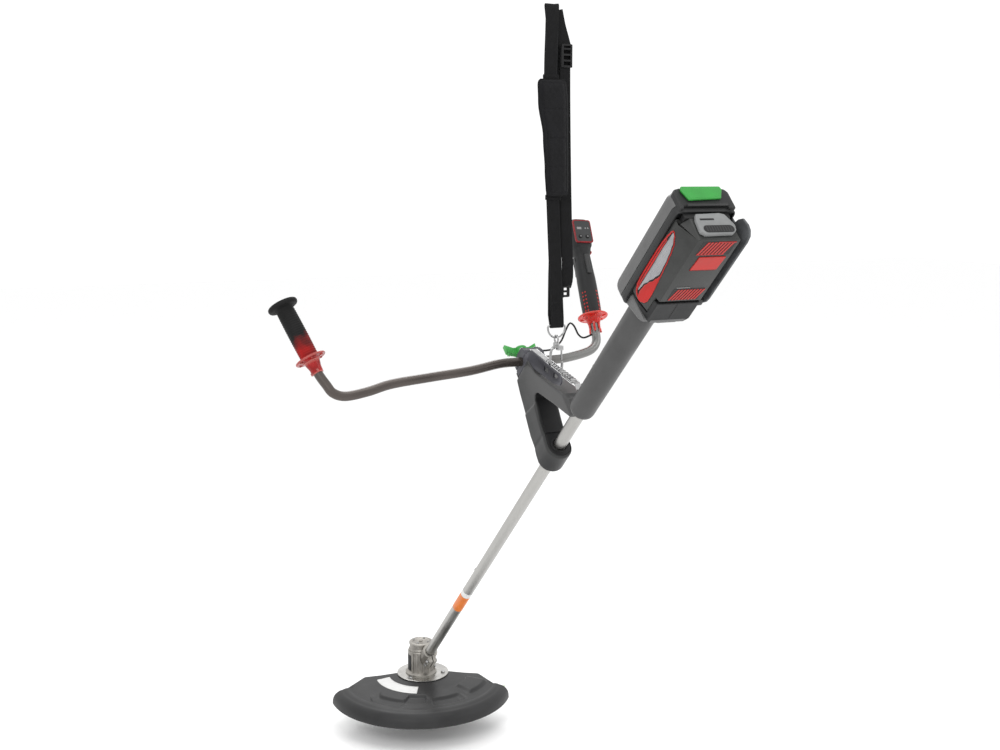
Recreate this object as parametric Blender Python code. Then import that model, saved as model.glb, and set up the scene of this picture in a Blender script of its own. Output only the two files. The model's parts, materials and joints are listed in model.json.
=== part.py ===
"""Cordless brush cutter with a bike handlebar, hanging from its shoulder strap.

Run with: blender --background --python part.py
Metres. +X is the operator's right, +Y is forward, towards the cutting head, and +Z is up.
The origin is the point where the strap's hook carries the hang rail.

Three frames place the parts, each an empty:
  shaft_frame  X across, Y square to the shaft and upward, Z up along the shaft from the gear case
  head_frame   upright, with its origin where the spindle and the shaft meet
  bar_frame    X across, Z in the direction that the grips rise, origin at the clamp on the handlebar
"""

import math

import bmesh
import bpy
from mathutils import Matrix, Vector

# ---- driving dimensions ----
GAP = 0.0003
SHAFT_TILT = math.radians(44)
HANG_ALONG = 1.165
HANG_ABOVE = 0.1246

TUBE_RADIUS = 0.0130
TUBE_BORE = 0.0115
TUBE_START = 0.0385
TUBE_END = 1.330
DRIVE_SHAFT_RADIUS = 0.004

CONE_LENGTH = 0.030
PINION_TEETH = 14
CROWN_TEETH = 18

FLANGE_Z = -0.0225
GUARD_RADIUS = 0.238

BAR_RADIUS = 0.0095
BAR_BORE = 0.0080
CLAMP_ALONG = 1.081
CLAMP_ABOVE = 0.201
GRIP_LEAN = math.radians(28)

YOKE_HALF = 0.0240
YOKE_SKIN = 0.0095
REAR_START = 1.1905
REAR_END = 1.5285
REAR_RADIUS = 0.0255

HOUSING_HALF = 0.0580
HOUSING_START = 1.5290
HOUSING_END = 1.7620
BATTERY_HALF = 0.0530
BATTERY_START = 1.6030
BATTERY_END = 1.7580

STRAP_WIDTH = 0.028
STRAP_THICK = 0.0024
STRAP_TOP = 0.690

SMOOTH_ANGLE = math.radians(35)
ORIGIN = Vector((0, 0, 0))
UP = Vector((0, 0, 1))
ACROSS = Vector((1, 0, 0))


# ---- scene and materials ----
def clear_scene():
    for obj in list(bpy.data.objects):
        bpy.data.objects.remove(obj)
    for mesh in list(bpy.data.meshes):
        bpy.data.meshes.remove(mesh)


def material(name, colour, roughness, metallic=0.0):
    made = bpy.data.materials.new(name)
    made.use_nodes = True
    shader = made.node_tree.nodes["Principled BSDF"]
    shader.inputs["Base Color"].default_value = (*colour, 1)
    shader.inputs["Roughness"].default_value = roughness
    shader.inputs["Metallic"].default_value = metallic
    return made


clear_scene()
ALUMINIUM = material("satin_aluminium", (0.72, 0.72, 0.70), 0.35, 1.0)
CAST = material("cast_aluminium", (0.50, 0.49, 0.46), 0.50, 1.0)
STEEL = material("bright_steel", (0.62, 0.62, 0.62), 0.25, 1.0)
DARK_STEEL = material("dark_steel", (0.10, 0.10, 0.12), 0.45, 0.8)
BAR_PAINT = material("bar_paint", (0.16, 0.15, 0.15), 0.35, 0.7)
GREY = material("grey_plastic", (0.20, 0.20, 0.20), 0.55)
CHARCOAL = material("charcoal_plastic", (0.06, 0.065, 0.065), 0.60)
BLACK = material("black_plastic", (0.02, 0.02, 0.02), 0.65)
RUBBER = material("black_rubber", (0.015, 0.015, 0.015), 0.80)
RED = material("red_plastic", (0.62, 0.03, 0.02), 0.35)
GREEN = material("green_plastic", (0.04, 0.42, 0.08), 0.40)
WEBBING = material("black_webbing", (0.015, 0.015, 0.015), 0.90)
LINE = material("green_line", (0.20, 0.35, 0.10), 0.40)
COPPER = material("copper_winding", (0.70, 0.30, 0.12), 0.35, 1.0)


# ---- frames ----
def empty(name, location, rotation=(0, 0, 0)):
    made = bpy.data.objects.new(name, None)
    made.location = location
    made.rotation_euler = rotation
    bpy.context.scene.collection.objects.link(made)
    return made


def in_world(above, along):
    """The world place of a point square to the shaft by above, and up along it by along, seen from the gear case."""
    y = above * math.sin(SHAFT_TILT) - along * math.cos(SHAFT_TILT)
    z = above * math.cos(SHAFT_TILT) + along * math.sin(SHAFT_TILT)
    return Vector((0, y, z))


HEAD_CENTRE = -in_world(HANG_ABOVE, HANG_ALONG)
CLAMP_CENTRE = HEAD_CENTRE + in_world(CLAMP_ABOVE, CLAMP_ALONG)
SHAFT_FRAME = empty("shaft_frame", HEAD_CENTRE, (math.pi / 2 - SHAFT_TILT, 0, 0))
HEAD_FRAME = empty("head_frame", HEAD_CENTRE)
BAR_FRAME = empty("bar_frame", CLAMP_CENTRE, (-GRIP_LEAN, 0, 0))
STRAP_FRAME = empty("strap_frame", ORIGIN)
SHAFT_UP = Vector((0, -math.cos(SHAFT_TILT), math.sin(SHAFT_TILT)))


# ---- mesh tools ----
def finish_mesh(name, shape, surface, frame, pivot=ORIGIN, smooth=True):
    """Makes the object from a bmesh drawn in the frame's own axes, with its origin at pivot."""
    bmesh.ops.recalc_face_normals(shape, faces=shape.faces)
    bmesh.ops.translate(shape, vec=-Vector(pivot), verts=shape.verts)
    mesh = bpy.data.meshes.new(name)
    shape.to_mesh(mesh)
    shape.free()
    mesh.materials.append(surface)
    if smooth:
        mesh.shade_smooth()
        mesh.set_sharp_from_angle(angle=SMOOTH_ANGLE)
    obj = bpy.data.objects.new(name, mesh)
    bpy.context.scene.collection.objects.link(obj)
    obj.parent = frame
    obj.location = pivot
    return obj


def ring(shape, radius, height, sides):
    points = []
    for step in range(sides):
        turn = 2 * math.pi * step / sides
        points.append(shape.verts.new((radius * math.cos(turn), radius * math.sin(turn), height)))
    return points


def bridge(shape, lower, upper):
    sides = max(len(lower), len(upper))
    for step in range(sides):
        after = (step + 1) % sides
        if len(lower) == 1:
            shape.faces.new((lower[0], upper[after], upper[step]))
        elif len(upper) == 1:
            shape.faces.new((lower[step], lower[after], upper[0]))
        else:
            shape.faces.new((lower[step], lower[after], upper[after], upper[step]))


def turned(profile, sides=24):
    """A turned shape about Z. A profile that starts and ends at radius 0 is solid; any other closes on itself as a ring."""
    shape = bmesh.new()
    rings = []
    for radius, height in profile:
        rings.append([shape.verts.new((0, 0, height))] if radius == 0 else ring(shape, radius, height, sides))
    for lower, upper in zip(rings, rings[1:]):
        bridge(shape, lower, upper)
    if profile[0][0] != 0:
        bridge(shape, rings[-1], rings[0])
    return shape


def aimed(shape, direction, place=ORIGIN):
    """Turns a shape drawn about Z to point along direction, and moves it to place."""
    turn = UP.rotation_difference(Vector(direction)).to_matrix()
    bmesh.ops.rotate(shape, matrix=turn, verts=shape.verts)
    bmesh.ops.translate(shape, vec=Vector(place), verts=shape.verts)
    return shape


def tube(radius, bore, start, end, sides=24):
    return turned([(bore, start), (radius, start), (radius, end), (bore, end)], sides)


def rod(radius, start, end, sides=16, edge=0.0):
    if edge == 0:
        return turned([(0, start), (radius, start), (radius, end), (0, end)], sides)
    inner = radius - edge
    profile = [(0, start), (inner, start), (radius, start + edge), (radius, end - edge), (inner, end), (0, end)]
    return turned(profile, sides)


def block(low, high, edge=0.0, segments=1):
    shape = bmesh.new()
    low, high = Vector(low), Vector(high)
    bmesh.ops.create_cube(shape, size=1, matrix=Matrix.Translation((low + high) / 2) @ Matrix.Diagonal((*(high - low), 1)))
    if edge:
        bmesh.ops.bevel(shape, geom=shape.edges[:], offset=edge, segments=segments, affect="EDGES", profile=0.5)
    return shape


def prism(outline, low, high, spread):
    """Extrudes an outline. spread turns the outline's pair and a depth into a point of the frame."""
    shape = bmesh.new()
    near = [shape.verts.new(spread(a, b, low)) for a, b in outline]
    far = [shape.verts.new(spread(a, b, high)) for a, b in outline]
    shape.faces.new(near)
    shape.faces.new(list(reversed(far)))
    for step in range(len(outline)):
        after = (step + 1) % len(outline)
        shape.faces.new((near[after], near[step], far[step], far[after]))
    return shape


def side_view(along, above, across):
    """A side outline, given along the shaft and above it, extruded across the tool."""
    return (across, above, along)


def rear_view(across, above, along):
    """An outline seen along the shaft, extruded up the shaft."""
    return (across, above, along)


def plan_view(x, y, z):
    return (x, y, z)


def bevelled(obj, width, segments=1):
    edge = obj.modifiers.new("edges", "BEVEL")
    edge.width = width
    edge.segments = segments
    edge.limit_method = "ANGLE"
    edge.angle_limit = math.radians(30)
    return obj


def helper(name, shape, frame):
    made = finish_mesh(name, shape, BLACK, frame, smooth=False)
    made.hide_render = True
    made.display_type = "WIRE"
    return made


def boolean(obj, kind, shape, frame, crossing=False):
    """Cuts a shape from obj, or joins it to obj. crossing is for a cut through several joined shapes."""
    step = len(obj.modifiers) + 1
    change = obj.modifiers.new(f"{kind.lower()}_{step}", "BOOLEAN")
    change.operation = kind
    change.solver = "EXACT"
    change.use_self = crossing
    change.object = helper(f"{obj.name}_tool_{step}", shape, frame)
    return obj


def smooth_path(points, spacing):
    """Points at an even spacing along a smooth curve through the given points."""
    points = [Vector(p) for p in points]
    padded = [2 * points[0] - points[1]] + points + [2 * points[-1] - points[-2]]
    fine = []
    for before, here, there, after in zip(padded, padded[1:], padded[2:], padded[3:]):
        for step in range(24):
            t = step / 24
            pull = (there - before) * 0.5
            push = (after - here) * 0.5
            a = 2 * t**3 - 3 * t**2 + 1
            b = t**3 - 2 * t**2 + t
            c = 3 * t**2 - 2 * t**3
            d = t**3 - t**2
            fine.append(a * here + b * pull + c * there + d * push)
    fine.append(points[-1])
    travelled = [0.0]
    for here, there in zip(fine, fine[1:]):
        travelled.append(travelled[-1] + (there - here).length)
    count = max(2, round(travelled[-1] / spacing))
    even = []
    index = 0
    for step in range(count + 1):
        goal = travelled[-1] * step / count
        while index < len(fine) - 2 and travelled[index + 1] < goal:
            index += 1
        share = (goal - travelled[index]) / (travelled[index + 1] - travelled[index])
        even.append(fine[index].lerp(fine[index + 1], min(1, max(0, share))))
    return even


def thinned(path, turn, reach=0.10):
    """Leaves out the points of a path where it runs nearly straight."""
    kept = [path[0]]
    heading = None
    for before, here, there in zip(path, path[1:], path[2:]):
        heading = heading or (here - before)
        if heading.angle(there - here) >= turn or (here - kept[-1]).length >= reach:
            kept.append(here)
            heading = there - here
    return kept + [path[-1]]


def swept(path, section, closed=False):
    """Sweeps a closed section, a list of (side, up) pairs, along a path, turning it as little as possible."""
    shape = bmesh.new()
    frames = []
    side = None
    for step, point in enumerate(path):
        before = path[step - 1] if step or closed else path[step]
        after = path[(step + 1) % len(path)] if step + 1 < len(path) or closed else path[step]
        ahead = (after - before).normalized()
        if side is None:
            guide = Vector((0, 1, 0)) if abs(ahead.y) < 0.8 else ACROSS
            side = ahead.cross(guide).normalized()
        side = (side - ahead * side.dot(ahead)).normalized()
        up = side.cross(ahead)
        frames.append([shape.verts.new(point + side * a + up * b) for a, b in section])
    for here, there in zip(frames, frames[1:]):
        bridge(shape, here, there)
    if closed:
        bridge(shape, frames[-1], frames[0])
    else:
        shape.faces.new(frames[0])
        shape.faces.new(list(reversed(frames[-1])))
    return shape


def circle_section(radius, sides):
    return [(radius * math.cos(2 * math.pi * k / sides), radius * math.sin(2 * math.pi * k / sides)) for k in range(sides)]


def hollow_swept(path, radius, bore, sides):
    """A tube along a path, open at both ends."""
    shape = bmesh.new()
    rings = {radius: [], bore: []}
    side = None
    for step, point in enumerate(path):
        ahead = (path[min(step + 1, len(path) - 1)] - path[max(step - 1, 0)]).normalized()
        if side is None:
            side = ahead.cross(Vector((0, 1, 0))).normalized()
        side = (side - ahead * side.dot(ahead)).normalized()
        up = side.cross(ahead)
        for size, made in rings.items():
            made.append([shape.verts.new(point + side * a + up * b) for a, b in circle_section(size, sides)])
    for made in rings.values():
        for here, there in zip(made, made[1:]):
            bridge(shape, here, there)
    for end in (0, -1):
        bridge(shape, rings[radius][end], rings[bore][end])
    return shape


def cord(name, points, radius, spacing, surface, frame, resolution=2):
    """A round cord: a curve with a bevel, on points read from a smooth curve."""
    data = bpy.data.curves.new(name, "CURVE")
    data.dimensions = "3D"
    data.bevel_depth = radius
    data.bevel_resolution = resolution
    data.use_fill_caps = True
    line = data.splines.new("POLY")
    route = smooth_path(points, spacing)
    line.points.add(len(route) - 1)
    for knot, place in zip(line.points, route):
        knot.co = (*place, 1)
    data.materials.append(surface)
    obj = bpy.data.objects.new(name, data)
    bpy.context.scene.collection.objects.link(obj)
    obj.parent = frame
    return obj


# ---- gear case and its insides ----
CASE_LEAN = Vector((0, math.sin(math.radians(14)), math.cos(math.radians(14))))
CASE_TOP = 0.0550
SOCKET_END = 0.0780
SHAFT_BORE = TUBE_RADIUS + GAP
CLAMP_BOLT_PLACES = {"clamp_bolt_lower": 0.048, "clamp_bolt_upper": 0.067}
EAR_ABOVE = -0.0235


def gear_case():
    case = finish_mesh("gear_case", rod(0.0300, -0.0222, 0.0180, 24, 0.003), CAST, HEAD_FRAME)
    boolean(case, "UNION", aimed(rod(0.0296, -0.004, 0.0440, 24, 0.003), CASE_LEAN), HEAD_FRAME)
    boolean(case, "UNION", aimed(rod(0.0242, 0.0300, CASE_TOP, 24, 0.001), CASE_LEAN), HEAD_FRAME)
    boolean(case, "UNION", rod(0.0195, 0.004, SOCKET_END, 24, 0.002), SHAFT_FRAME)
    boolean(case, "UNION", block((-0.0105, -0.0310, 0.038), (0.0105, -0.008, 0.0765), 0.0015), SHAFT_FRAME)
    boolean(case, "DIFFERENCE", rod(0.0178, -0.0100, 0.0310, 24), HEAD_FRAME)
    boolean(case, "DIFFERENCE", rod(0.0113, 0.0300, 0.0390, 24), HEAD_FRAME)
    boolean(case, "DIFFERENCE", rod(0.0133, -0.0250, -0.0090, 24), HEAD_FRAME)
    boolean(case, "DIFFERENCE", rod(SHAFT_BORE, 0.014, SOCKET_END + 0.01, 24), SHAFT_FRAME)
    boolean(case, "DIFFERENCE", block((-0.0013, -0.036, 0.036), (0.0013, -0.005, SOCKET_END + 0.01)), SHAFT_FRAME, True)
    for along in CLAMP_BOLT_PLACES.values():
        hole = aimed(rod(0.0028, -0.02, 0.02, 12), ACROSS, (0, EAR_ABOVE, along))
        boolean(case, "DIFFERENCE", hole, SHAFT_FRAME, True)
    return case


def case_fittings():
    cap = turned([(0, 0), (0.0215, 0), (0.0235, 0.0015), (0.0235, 0.0045), (0.0205, 0.0065), (0.0150, 0.0065), (0.0130, 0.0045), (0, 0.0045)], 24)
    finish_mesh("gear_case_cap", aimed(cap, CASE_LEAN, CASE_LEAN * (CASE_TOP + GAP)), CAST, HEAD_FRAME)
    plug = turned([(0, 0), (0.0050, 0), (0.0050, 0.0035), (0.0035, 0.0048), (0, 0.0048)], 12)
    side = Vector((math.sin(math.radians(60)), -math.cos(math.radians(60)), 0))
    finish_mesh("grease_screw", aimed(plug, side, side * 0.0304 + UP * -0.004), STEEL, HEAD_FRAME)
    for name, along in CLAMP_BOLT_PLACES.items():
        bolt = turned([(0, -0.0108), (0.0025, -0.0108), (0.0025, 0.0108), (0.0042, 0.0108), (0.0042, 0.0150), (0.0034, 0.0156), (0, 0.0156)], 12)
        finish_mesh(name, aimed(bolt, -ACROSS, (0, EAR_ABOVE, along)), STEEL, SHAFT_FRAME)


def bevel_gear(teeth, half_angle, face, bore):
    """A bevel gear about Z whose cone's point is the origin, with shallow teeth that stay clear of the pitch cone."""
    shape = bmesh.new()
    rows = []
    for share in (1 - face, 1.0):
        reach = CONE_LENGTH * share
        row = []
        for step in range(teeth * 4):
            depth = 0.0030 if step % 4 in (0, 1) else 0.0012
            turn = 2 * math.pi * step / (teeth * 4)
            radius = reach * math.sin(half_angle) - depth * math.cos(half_angle) * share
            height = reach * math.cos(half_angle) + depth * math.sin(half_angle) * share
            row.append(shape.verts.new((radius * math.cos(turn), radius * math.sin(turn), height)))
        rows.append(row)
    back = CONE_LENGTH * math.cos(half_angle) + 0.0035
    rows.append(ring(shape, bore + 0.003, back, teeth * 4))
    rows.append(ring(shape, bore, back, teeth * 4))
    rows.append(ring(shape, bore, CONE_LENGTH * (1 - face) * math.cos(half_angle) + 0.0010, teeth * 4))
    for here, there in zip(rows, rows[1:]):
        bridge(shape, here, there)
    bridge(shape, rows[-1], rows[0])
    return shape


def drive_line():
    meeting = math.pi / 2 - SHAFT_TILT
    pinion_angle = math.atan2(math.sin(meeting), CROWN_TEETH / PINION_TEETH + math.cos(meeting))
    finish_mesh("drive_pinion", bevel_gear(PINION_TEETH, pinion_angle, 0.28, DRIVE_SHAFT_RADIUS + GAP), STEEL, SHAFT_FRAME, smooth=False)
    finish_mesh("crown_gear", bevel_gear(CROWN_TEETH, meeting - pinion_angle, 0.28, 0.0053), STEEL, HEAD_FRAME, smooth=False)
    finish_mesh("drive_shaft", rod(DRIVE_SHAFT_RADIUS, 0.0225, 1.4090, 12), STEEL, SHAFT_FRAME)
    spindle = turned([(0, -0.1020), (0.0040, -0.1020), (0.0040, -0.0640), (0.0060, -0.0640), (0.0060, -0.0250), (0.0050, -0.0250), (0.0050, 0.0385), (0, 0.0385)], 16)
    finish_mesh("output_spindle", spindle, STEEL, HEAD_FRAME)
    finish_mesh("spindle_bearing_lower", tube(0.0130, 0.0053, -0.0180, -0.0095), STEEL, HEAD_FRAME)
    finish_mesh("spindle_bearing_upper", tube(0.0110, 0.0053, 0.0313, 0.0383), STEEL, HEAD_FRAME)
    finish_mesh("pinion_bearing", tube(0.0130, DRIVE_SHAFT_RADIUS + GAP, 0.0325, 0.0378), STEEL, SHAFT_FRAME)
    finish_mesh("shaft_bush", tube(TUBE_BORE - GAP, DRIVE_SHAFT_RADIUS + GAP, 0.680, 0.705, 16), BLACK, SHAFT_FRAME)
    finish_mesh("shaft_tube", tube(TUBE_RADIUS, TUBE_BORE, TUBE_START, TUBE_END, 32), ALUMINIUM, SHAFT_FRAME)


# ---- guard and cutting head ----
GUARD_BOLTS = {"guard_bolt_left": math.radians(-148), "guard_bolt_right": math.radians(-32)}
BOLT_CIRCLE = 0.054
SKIN = 0.0030


def guard_place(turn, radius):
    """A point of the guard: turn is measured from straight back, positive to the operator's right."""
    return Vector((radius * math.sin(turn), -radius * math.cos(turn), 0))


def guard_edge(radius, share):
    """The turn of a point that lies share of the way from the guard's left end to its right end. The inner part reaches further round."""
    outward = min(1, max(0, (radius - 0.150) / 0.035))
    left = math.radians(-112 + 17 * outward)
    right = math.radians(72 - 18 * outward)
    return left + (right - left) * share


def guard_reach(radius, turn):
    """The guard is a little wider on its left."""
    return radius * (1 - 0.028 * math.sin(turn) * min(1, max(0, (radius - 0.07) / 0.10)))


def guard_plate():
    profile = [(0.0150, -0.0030), (0.0660, -0.0030), (0.0680, -0.0020), (0.0680, -0.0004), (0.0670, 0), (0.0150, 0)]
    plate = finish_mesh("guard_plate", aimed(turned(profile, 36), UP, (0, 0, FLANGE_Z)), STEEL, HEAD_FRAME)
    for turn in GUARD_BOLTS.values():
        place = Vector((BOLT_CIRCLE * math.cos(turn), BOLT_CIRCLE * math.sin(turn), FLANGE_Z))
        boolean(plate, "DIFFERENCE", aimed(rod(0.0033, -0.01, 0.01, 12), UP, place), HEAD_FRAME)
    return plate


def guard():
    """The guard is a swept quarter shell: a domed top, a shoulder and an upright skirt."""
    top = FLANGE_Z - 0.0033
    outer = [(0.0450, 0.0), (0.0700, -0.0002), (0.1100, -0.0060), (0.1500, -0.0100), (0.1850, -0.0135), (0.2080, -0.0160)]
    outer += [(0.2260, -0.0210), (0.2350, -0.0300), (GUARD_RADIUS, -0.0500)]
    inner = [(GUARD_RADIUS - SKIN, -0.0500), (0.2322, -0.0310), (0.2242, -0.0234), (0.2070, -0.0184)]
    inner += [(0.1850, -0.0159), (0.1500, -0.0124), (0.1100, -0.0084), (0.0700, -0.0028), (0.0450, -0.0026)]
    steps = 24
    shape = bmesh.new()
    rows = []
    for step in range(steps + 1):
        row = []
        for radius, height in outer + inner:
            turn = guard_edge(radius, step / steps)
            row.append(shape.verts.new(guard_place(turn, guard_reach(radius, turn)) + UP * (top + height)))
        rows.append(row)
    for here, there in zip(rows, rows[1:]):
        bridge(shape, here, there)
    shape.faces.new(rows[0])
    shape.faces.new(list(reversed(rows[-1])))
    made = finish_mesh("guard", shape, CHARCOAL, HEAD_FRAME)
    for turn in GUARD_BOLTS.values():
        place = Vector((BOLT_CIRCLE * math.cos(turn), BOLT_CIRCLE * math.sin(turn), top))
        boolean(made, "DIFFERENCE", aimed(rod(0.0033, -0.01, 0.01, 12), UP, place), HEAD_FRAME)
    return made


def guard_fittings():
    for name, turn in GUARD_BOLTS.items():
        place = Vector((BOLT_CIRCLE * math.cos(turn), BOLT_CIRCLE * math.sin(turn), FLANGE_Z))
        bolt = turned([(0, -0.0085), (0.0029, -0.0085), (0.0029, GAP), (0.0055, GAP), (0.0055, 0.0036), (0.0046, 0.0043), (0, 0.0043)], 12)
        finish_mesh(name, aimed(bolt, UP, place), STEEL, HEAD_FRAME)
    blade_turn = guard_edge(GUARD_RADIUS, 0) + math.radians(3)
    shape = block((-0.0008, -0.016, -0.0100), (0.0008, 0.016, 0.0100), 0.0003)
    bmesh.ops.rotate(shape, matrix=Matrix.Rotation(blade_turn - math.pi / 2, 3, "Z"), verts=shape.verts)
    bmesh.ops.translate(shape, vec=guard_place(blade_turn, 0.2345) + UP * (FLANGE_Z - 0.0465), verts=shape.verts)
    finish_mesh("line_cutter", shape, STEEL, HEAD_FRAME, smooth=False)


HEAD_TOP = -0.0643
LINE_Z = -0.0860
LINE_START = 0.0560


def cutting_head():
    outer = [(0.0043, HEAD_TOP), (0.0300, HEAD_TOP), (0.0520, HEAD_TOP - 0.008), (0.0550, HEAD_TOP - 0.014), (0.0550, HEAD_TOP - 0.034)]
    inner = [(0.0525, HEAD_TOP - 0.034), (0.0525, HEAD_TOP - 0.015), (0.0290, HEAD_TOP - 0.004), (0.0043, HEAD_TOP - 0.004)]
    finish_mesh("head_housing", turned(outer + inner, 28), BLACK, HEAD_FRAME)
    low = HEAD_TOP - 0.034
    spool = [(0.0240, low), (0.0500, low), (0.0500, low + 0.002), (0.0300, low + 0.002), (0.0300, low + 0.014)]
    spool += [(0.0470, low + 0.014), (0.0470, low + 0.016), (0.0240, low + 0.016)]
    finish_mesh("line_spool", turned(spool, 24), GREY, HEAD_FRAME)
    knob = [(0, -0.1230), (0.0180, -0.1230), (0.0290, -0.1180), (0.0310, -0.1090), (0.0225, -0.1075), (0.0225, -0.0900), (0.0190, -0.0900), (0.0190, -0.1120), (0, -0.1120)]
    finish_mesh("bump_knob", turned(knob, 24), BLACK, HEAD_FRAME, pivot=(0, 0, -0.1230))
    coils = 5
    turns_points = coils * 10
    spring_low = -0.1105
    spring_high = HEAD_TOP - 0.0060
    path = []
    for step in range(turns_points + 1):
        turn = 2 * math.pi * step / 10
        height = spring_low + (spring_high - spring_low) * step / turns_points
        path.append(Vector((0.0140 * math.cos(turn), 0.0140 * math.sin(turn), height)))
    finish_mesh("bump_spring", swept(path, circle_section(0.0009, 5)), STEEL, HEAD_FRAME)
    for name, side in (("trimmer_line_left", -1), ("trimmer_line_right", 1)):
        route = [
            (side * LINE_START, 0.0, LINE_Z),
            (side * 0.090, -0.002 * side, LINE_Z),
            (side * 0.140, -0.008 * side, LINE_Z - 0.001),
            (side * 0.190, -0.020 * side, LINE_Z - 0.003),
            (side * 0.226, -0.033 * side, LINE_Z - 0.006),
        ]
        cord(name, route, 0.0012, 0.006, LINE, HEAD_FRAME)


# ---- yoke, clamp, rail ----
YOKE_OUTLINE = [
    (1.0145, 0.0603),
    (1.0300, 0.1500),
    (1.0370, 0.1860),
    (1.1080, 0.1860),
    (1.1200, 0.1400),
    (1.1600, 0.0840),
    (1.1900, 0.0430),
    (1.1900, -0.0060),
    (1.1800, -0.0060),
    (1.1470, 0.0450),
    (1.1040, 0.1080),
    (1.0960, 0.1130),
    (1.0860, 0.1130),
    (1.0800, 0.1070),
    (1.0665, 0.0603),
]


def yoke():
    inner = YOKE_HALF - YOKE_SKIN
    for name, side in (("yoke_left", -1), ("yoke_right", 1)):
        low, high = sorted((side * (inner + GAP), side * YOKE_HALF))
        shell = finish_mesh(name, prism(YOKE_OUTLINE, low, high, side_view), GREY, SHAFT_FRAME)
        bevelled(shell, 0.0035, 2)
    outline = [(1.0120, 0.0500)] + YOKE_OUTLINE[1:-1] + [(1.0650, 0.0500)]
    core = finish_mesh("yoke_core", prism(outline, -inner, inner, side_view), BLACK, SHAFT_FRAME)
    collar = turned([(0, 1.0080), (0.0225, 1.0080), (0.0275, 1.0120), (0.0285, 1.0280), (0.0285, 1.0640), (0.0265, 1.0690), (0, 1.0690)], 24)
    boolean(core, "UNION", collar, SHAFT_FRAME)
    foot = block((-YOKE_HALF, 0.0100, 1.0130), (YOKE_HALF, 0.0600, 1.0660), 0.004, 2)
    boolean(core, "UNION", foot, SHAFT_FRAME)
    boolean(core, "DIFFERENCE", rod(SHAFT_BORE, 0.98, 1.25, 24), SHAFT_FRAME)
    return core


STUD_ALONG = 1.0570
CLAMP_FRONT = 1.0480
CLAMP_BACK = 1.1070
CLAMP_HALF = 0.0230


def clamp():
    groove = aimed(rod(BAR_RADIUS + GAP, -0.06, 0.06, 24), ACROSS, (0, CLAMP_ABOVE, CLAMP_ALONG))
    base = block((-CLAMP_HALF, 0.1863, CLAMP_FRONT), (CLAMP_HALF, CLAMP_ABOVE - GAP, CLAMP_BACK), 0.0015)
    base = finish_mesh("clamp_base", base, DARK_STEEL, SHAFT_FRAME)
    boolean(base, "DIFFERENCE", groove, SHAFT_FRAME)
    groove = aimed(rod(BAR_RADIUS + GAP, -0.06, 0.06, 24), ACROSS, (0, CLAMP_ABOVE, CLAMP_ALONG))
    outline = [(CLAMP_FRONT, 0.2013), (CLAMP_FRONT, 0.2160), (1.0520, 0.2200), (1.0800, 0.2260), (1.0980, 0.2240), (CLAMP_BACK, 0.2100), (CLAMP_BACK, 0.2013)]
    cap = finish_mesh("clamp_cap", prism(outline, -CLAMP_HALF, CLAMP_HALF, side_view), DARK_STEEL, SHAFT_FRAME)
    bevelled(cap, 0.0020, 1)
    boolean(cap, "DIFFERENCE", groove, SHAFT_FRAME)
    hole = aimed(rod(0.0036, -0.03, 0.05, 16), Vector((0, 1, 0)), (0, CLAMP_ABOVE, STUD_ALONG))
    boolean(cap, "DIFFERENCE", hole, SHAFT_FRAME)
    hub = turned([(0, 0.2030), (0.0030, 0.2030), (0.0030, 0.2290), (0.0130, 0.2290), (0.0140, 0.2310), (0.0140, 0.2500), (0.0110, 0.2530), (0, 0.2530)], 24)
    knob = aimed(hub, Vector((0, 1, 0)), (0, 0, STUD_ALONG))
    knob = finish_mesh("clamp_knob", knob, GREEN, SHAFT_FRAME, pivot=(0, 0.2290, STUD_ALONG))
    wing = [(-0.0350, 0.2420), (-0.0120, 0.2330), (0.0120, 0.2330), (0.0350, 0.2420)]
    wing += [(0.0360, 0.2600), (0.0180, 0.2510), (-0.0180, 0.2510), (-0.0360, 0.2600)]
    boolean(knob, "UNION", prism(wing, STUD_ALONG - 0.0050, STUD_ALONG + 0.0050, rear_view), SHAFT_FRAME)


RAIL_HALF = 0.0060
RAIL_THICK = 0.0030
RAIL_FROM = Vector((1.1076, 0.2120))
RAIL_TO = Vector((1.2160, 0.0470))


def rail_outline():
    """The rail's side outline: a straight strip with a row of teeth on its upper side, a foot on the clamp and a post on the tube."""
    ahead = (RAIL_TO - RAIL_FROM).normalized()
    over = Vector((-ahead.y, ahead.x))
    length = (RAIL_TO - RAIL_FROM).length
    outline = [(RAIL_FROM.x, RAIL_FROM.y - 0.0180), (RAIL_FROM.x, RAIL_FROM.y)]
    teeth = 6
    pitch = 0.0110
    first = length - 0.012 - teeth * pitch
    for step in range(teeth):
        for move, rise in ((0.0, 0.0), (0.0015, 0.0030), (0.0045, 0.0030), (0.0060, 0.0)):
            place = RAIL_FROM + ahead * (first + step * pitch + move) + over * rise
            outline.append((place.x, place.y))
    outline.append((RAIL_TO.x, RAIL_TO.y))
    outline.append((RAIL_TO.x, 0.0333))
    outline.append((RAIL_TO.x - RAIL_THICK, 0.0333))
    inner_end = RAIL_TO - over * RAIL_THICK - ahead * 0.0040
    outline.append((RAIL_TO.x - RAIL_THICK, inner_end.y))
    inner_start = RAIL_FROM - over * RAIL_THICK + ahead * 0.0030
    outline.append((RAIL_FROM.x + RAIL_THICK, inner_start.y))
    outline.append((RAIL_FROM.x + RAIL_THICK, RAIL_FROM.y - 0.0180))
    return outline


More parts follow.
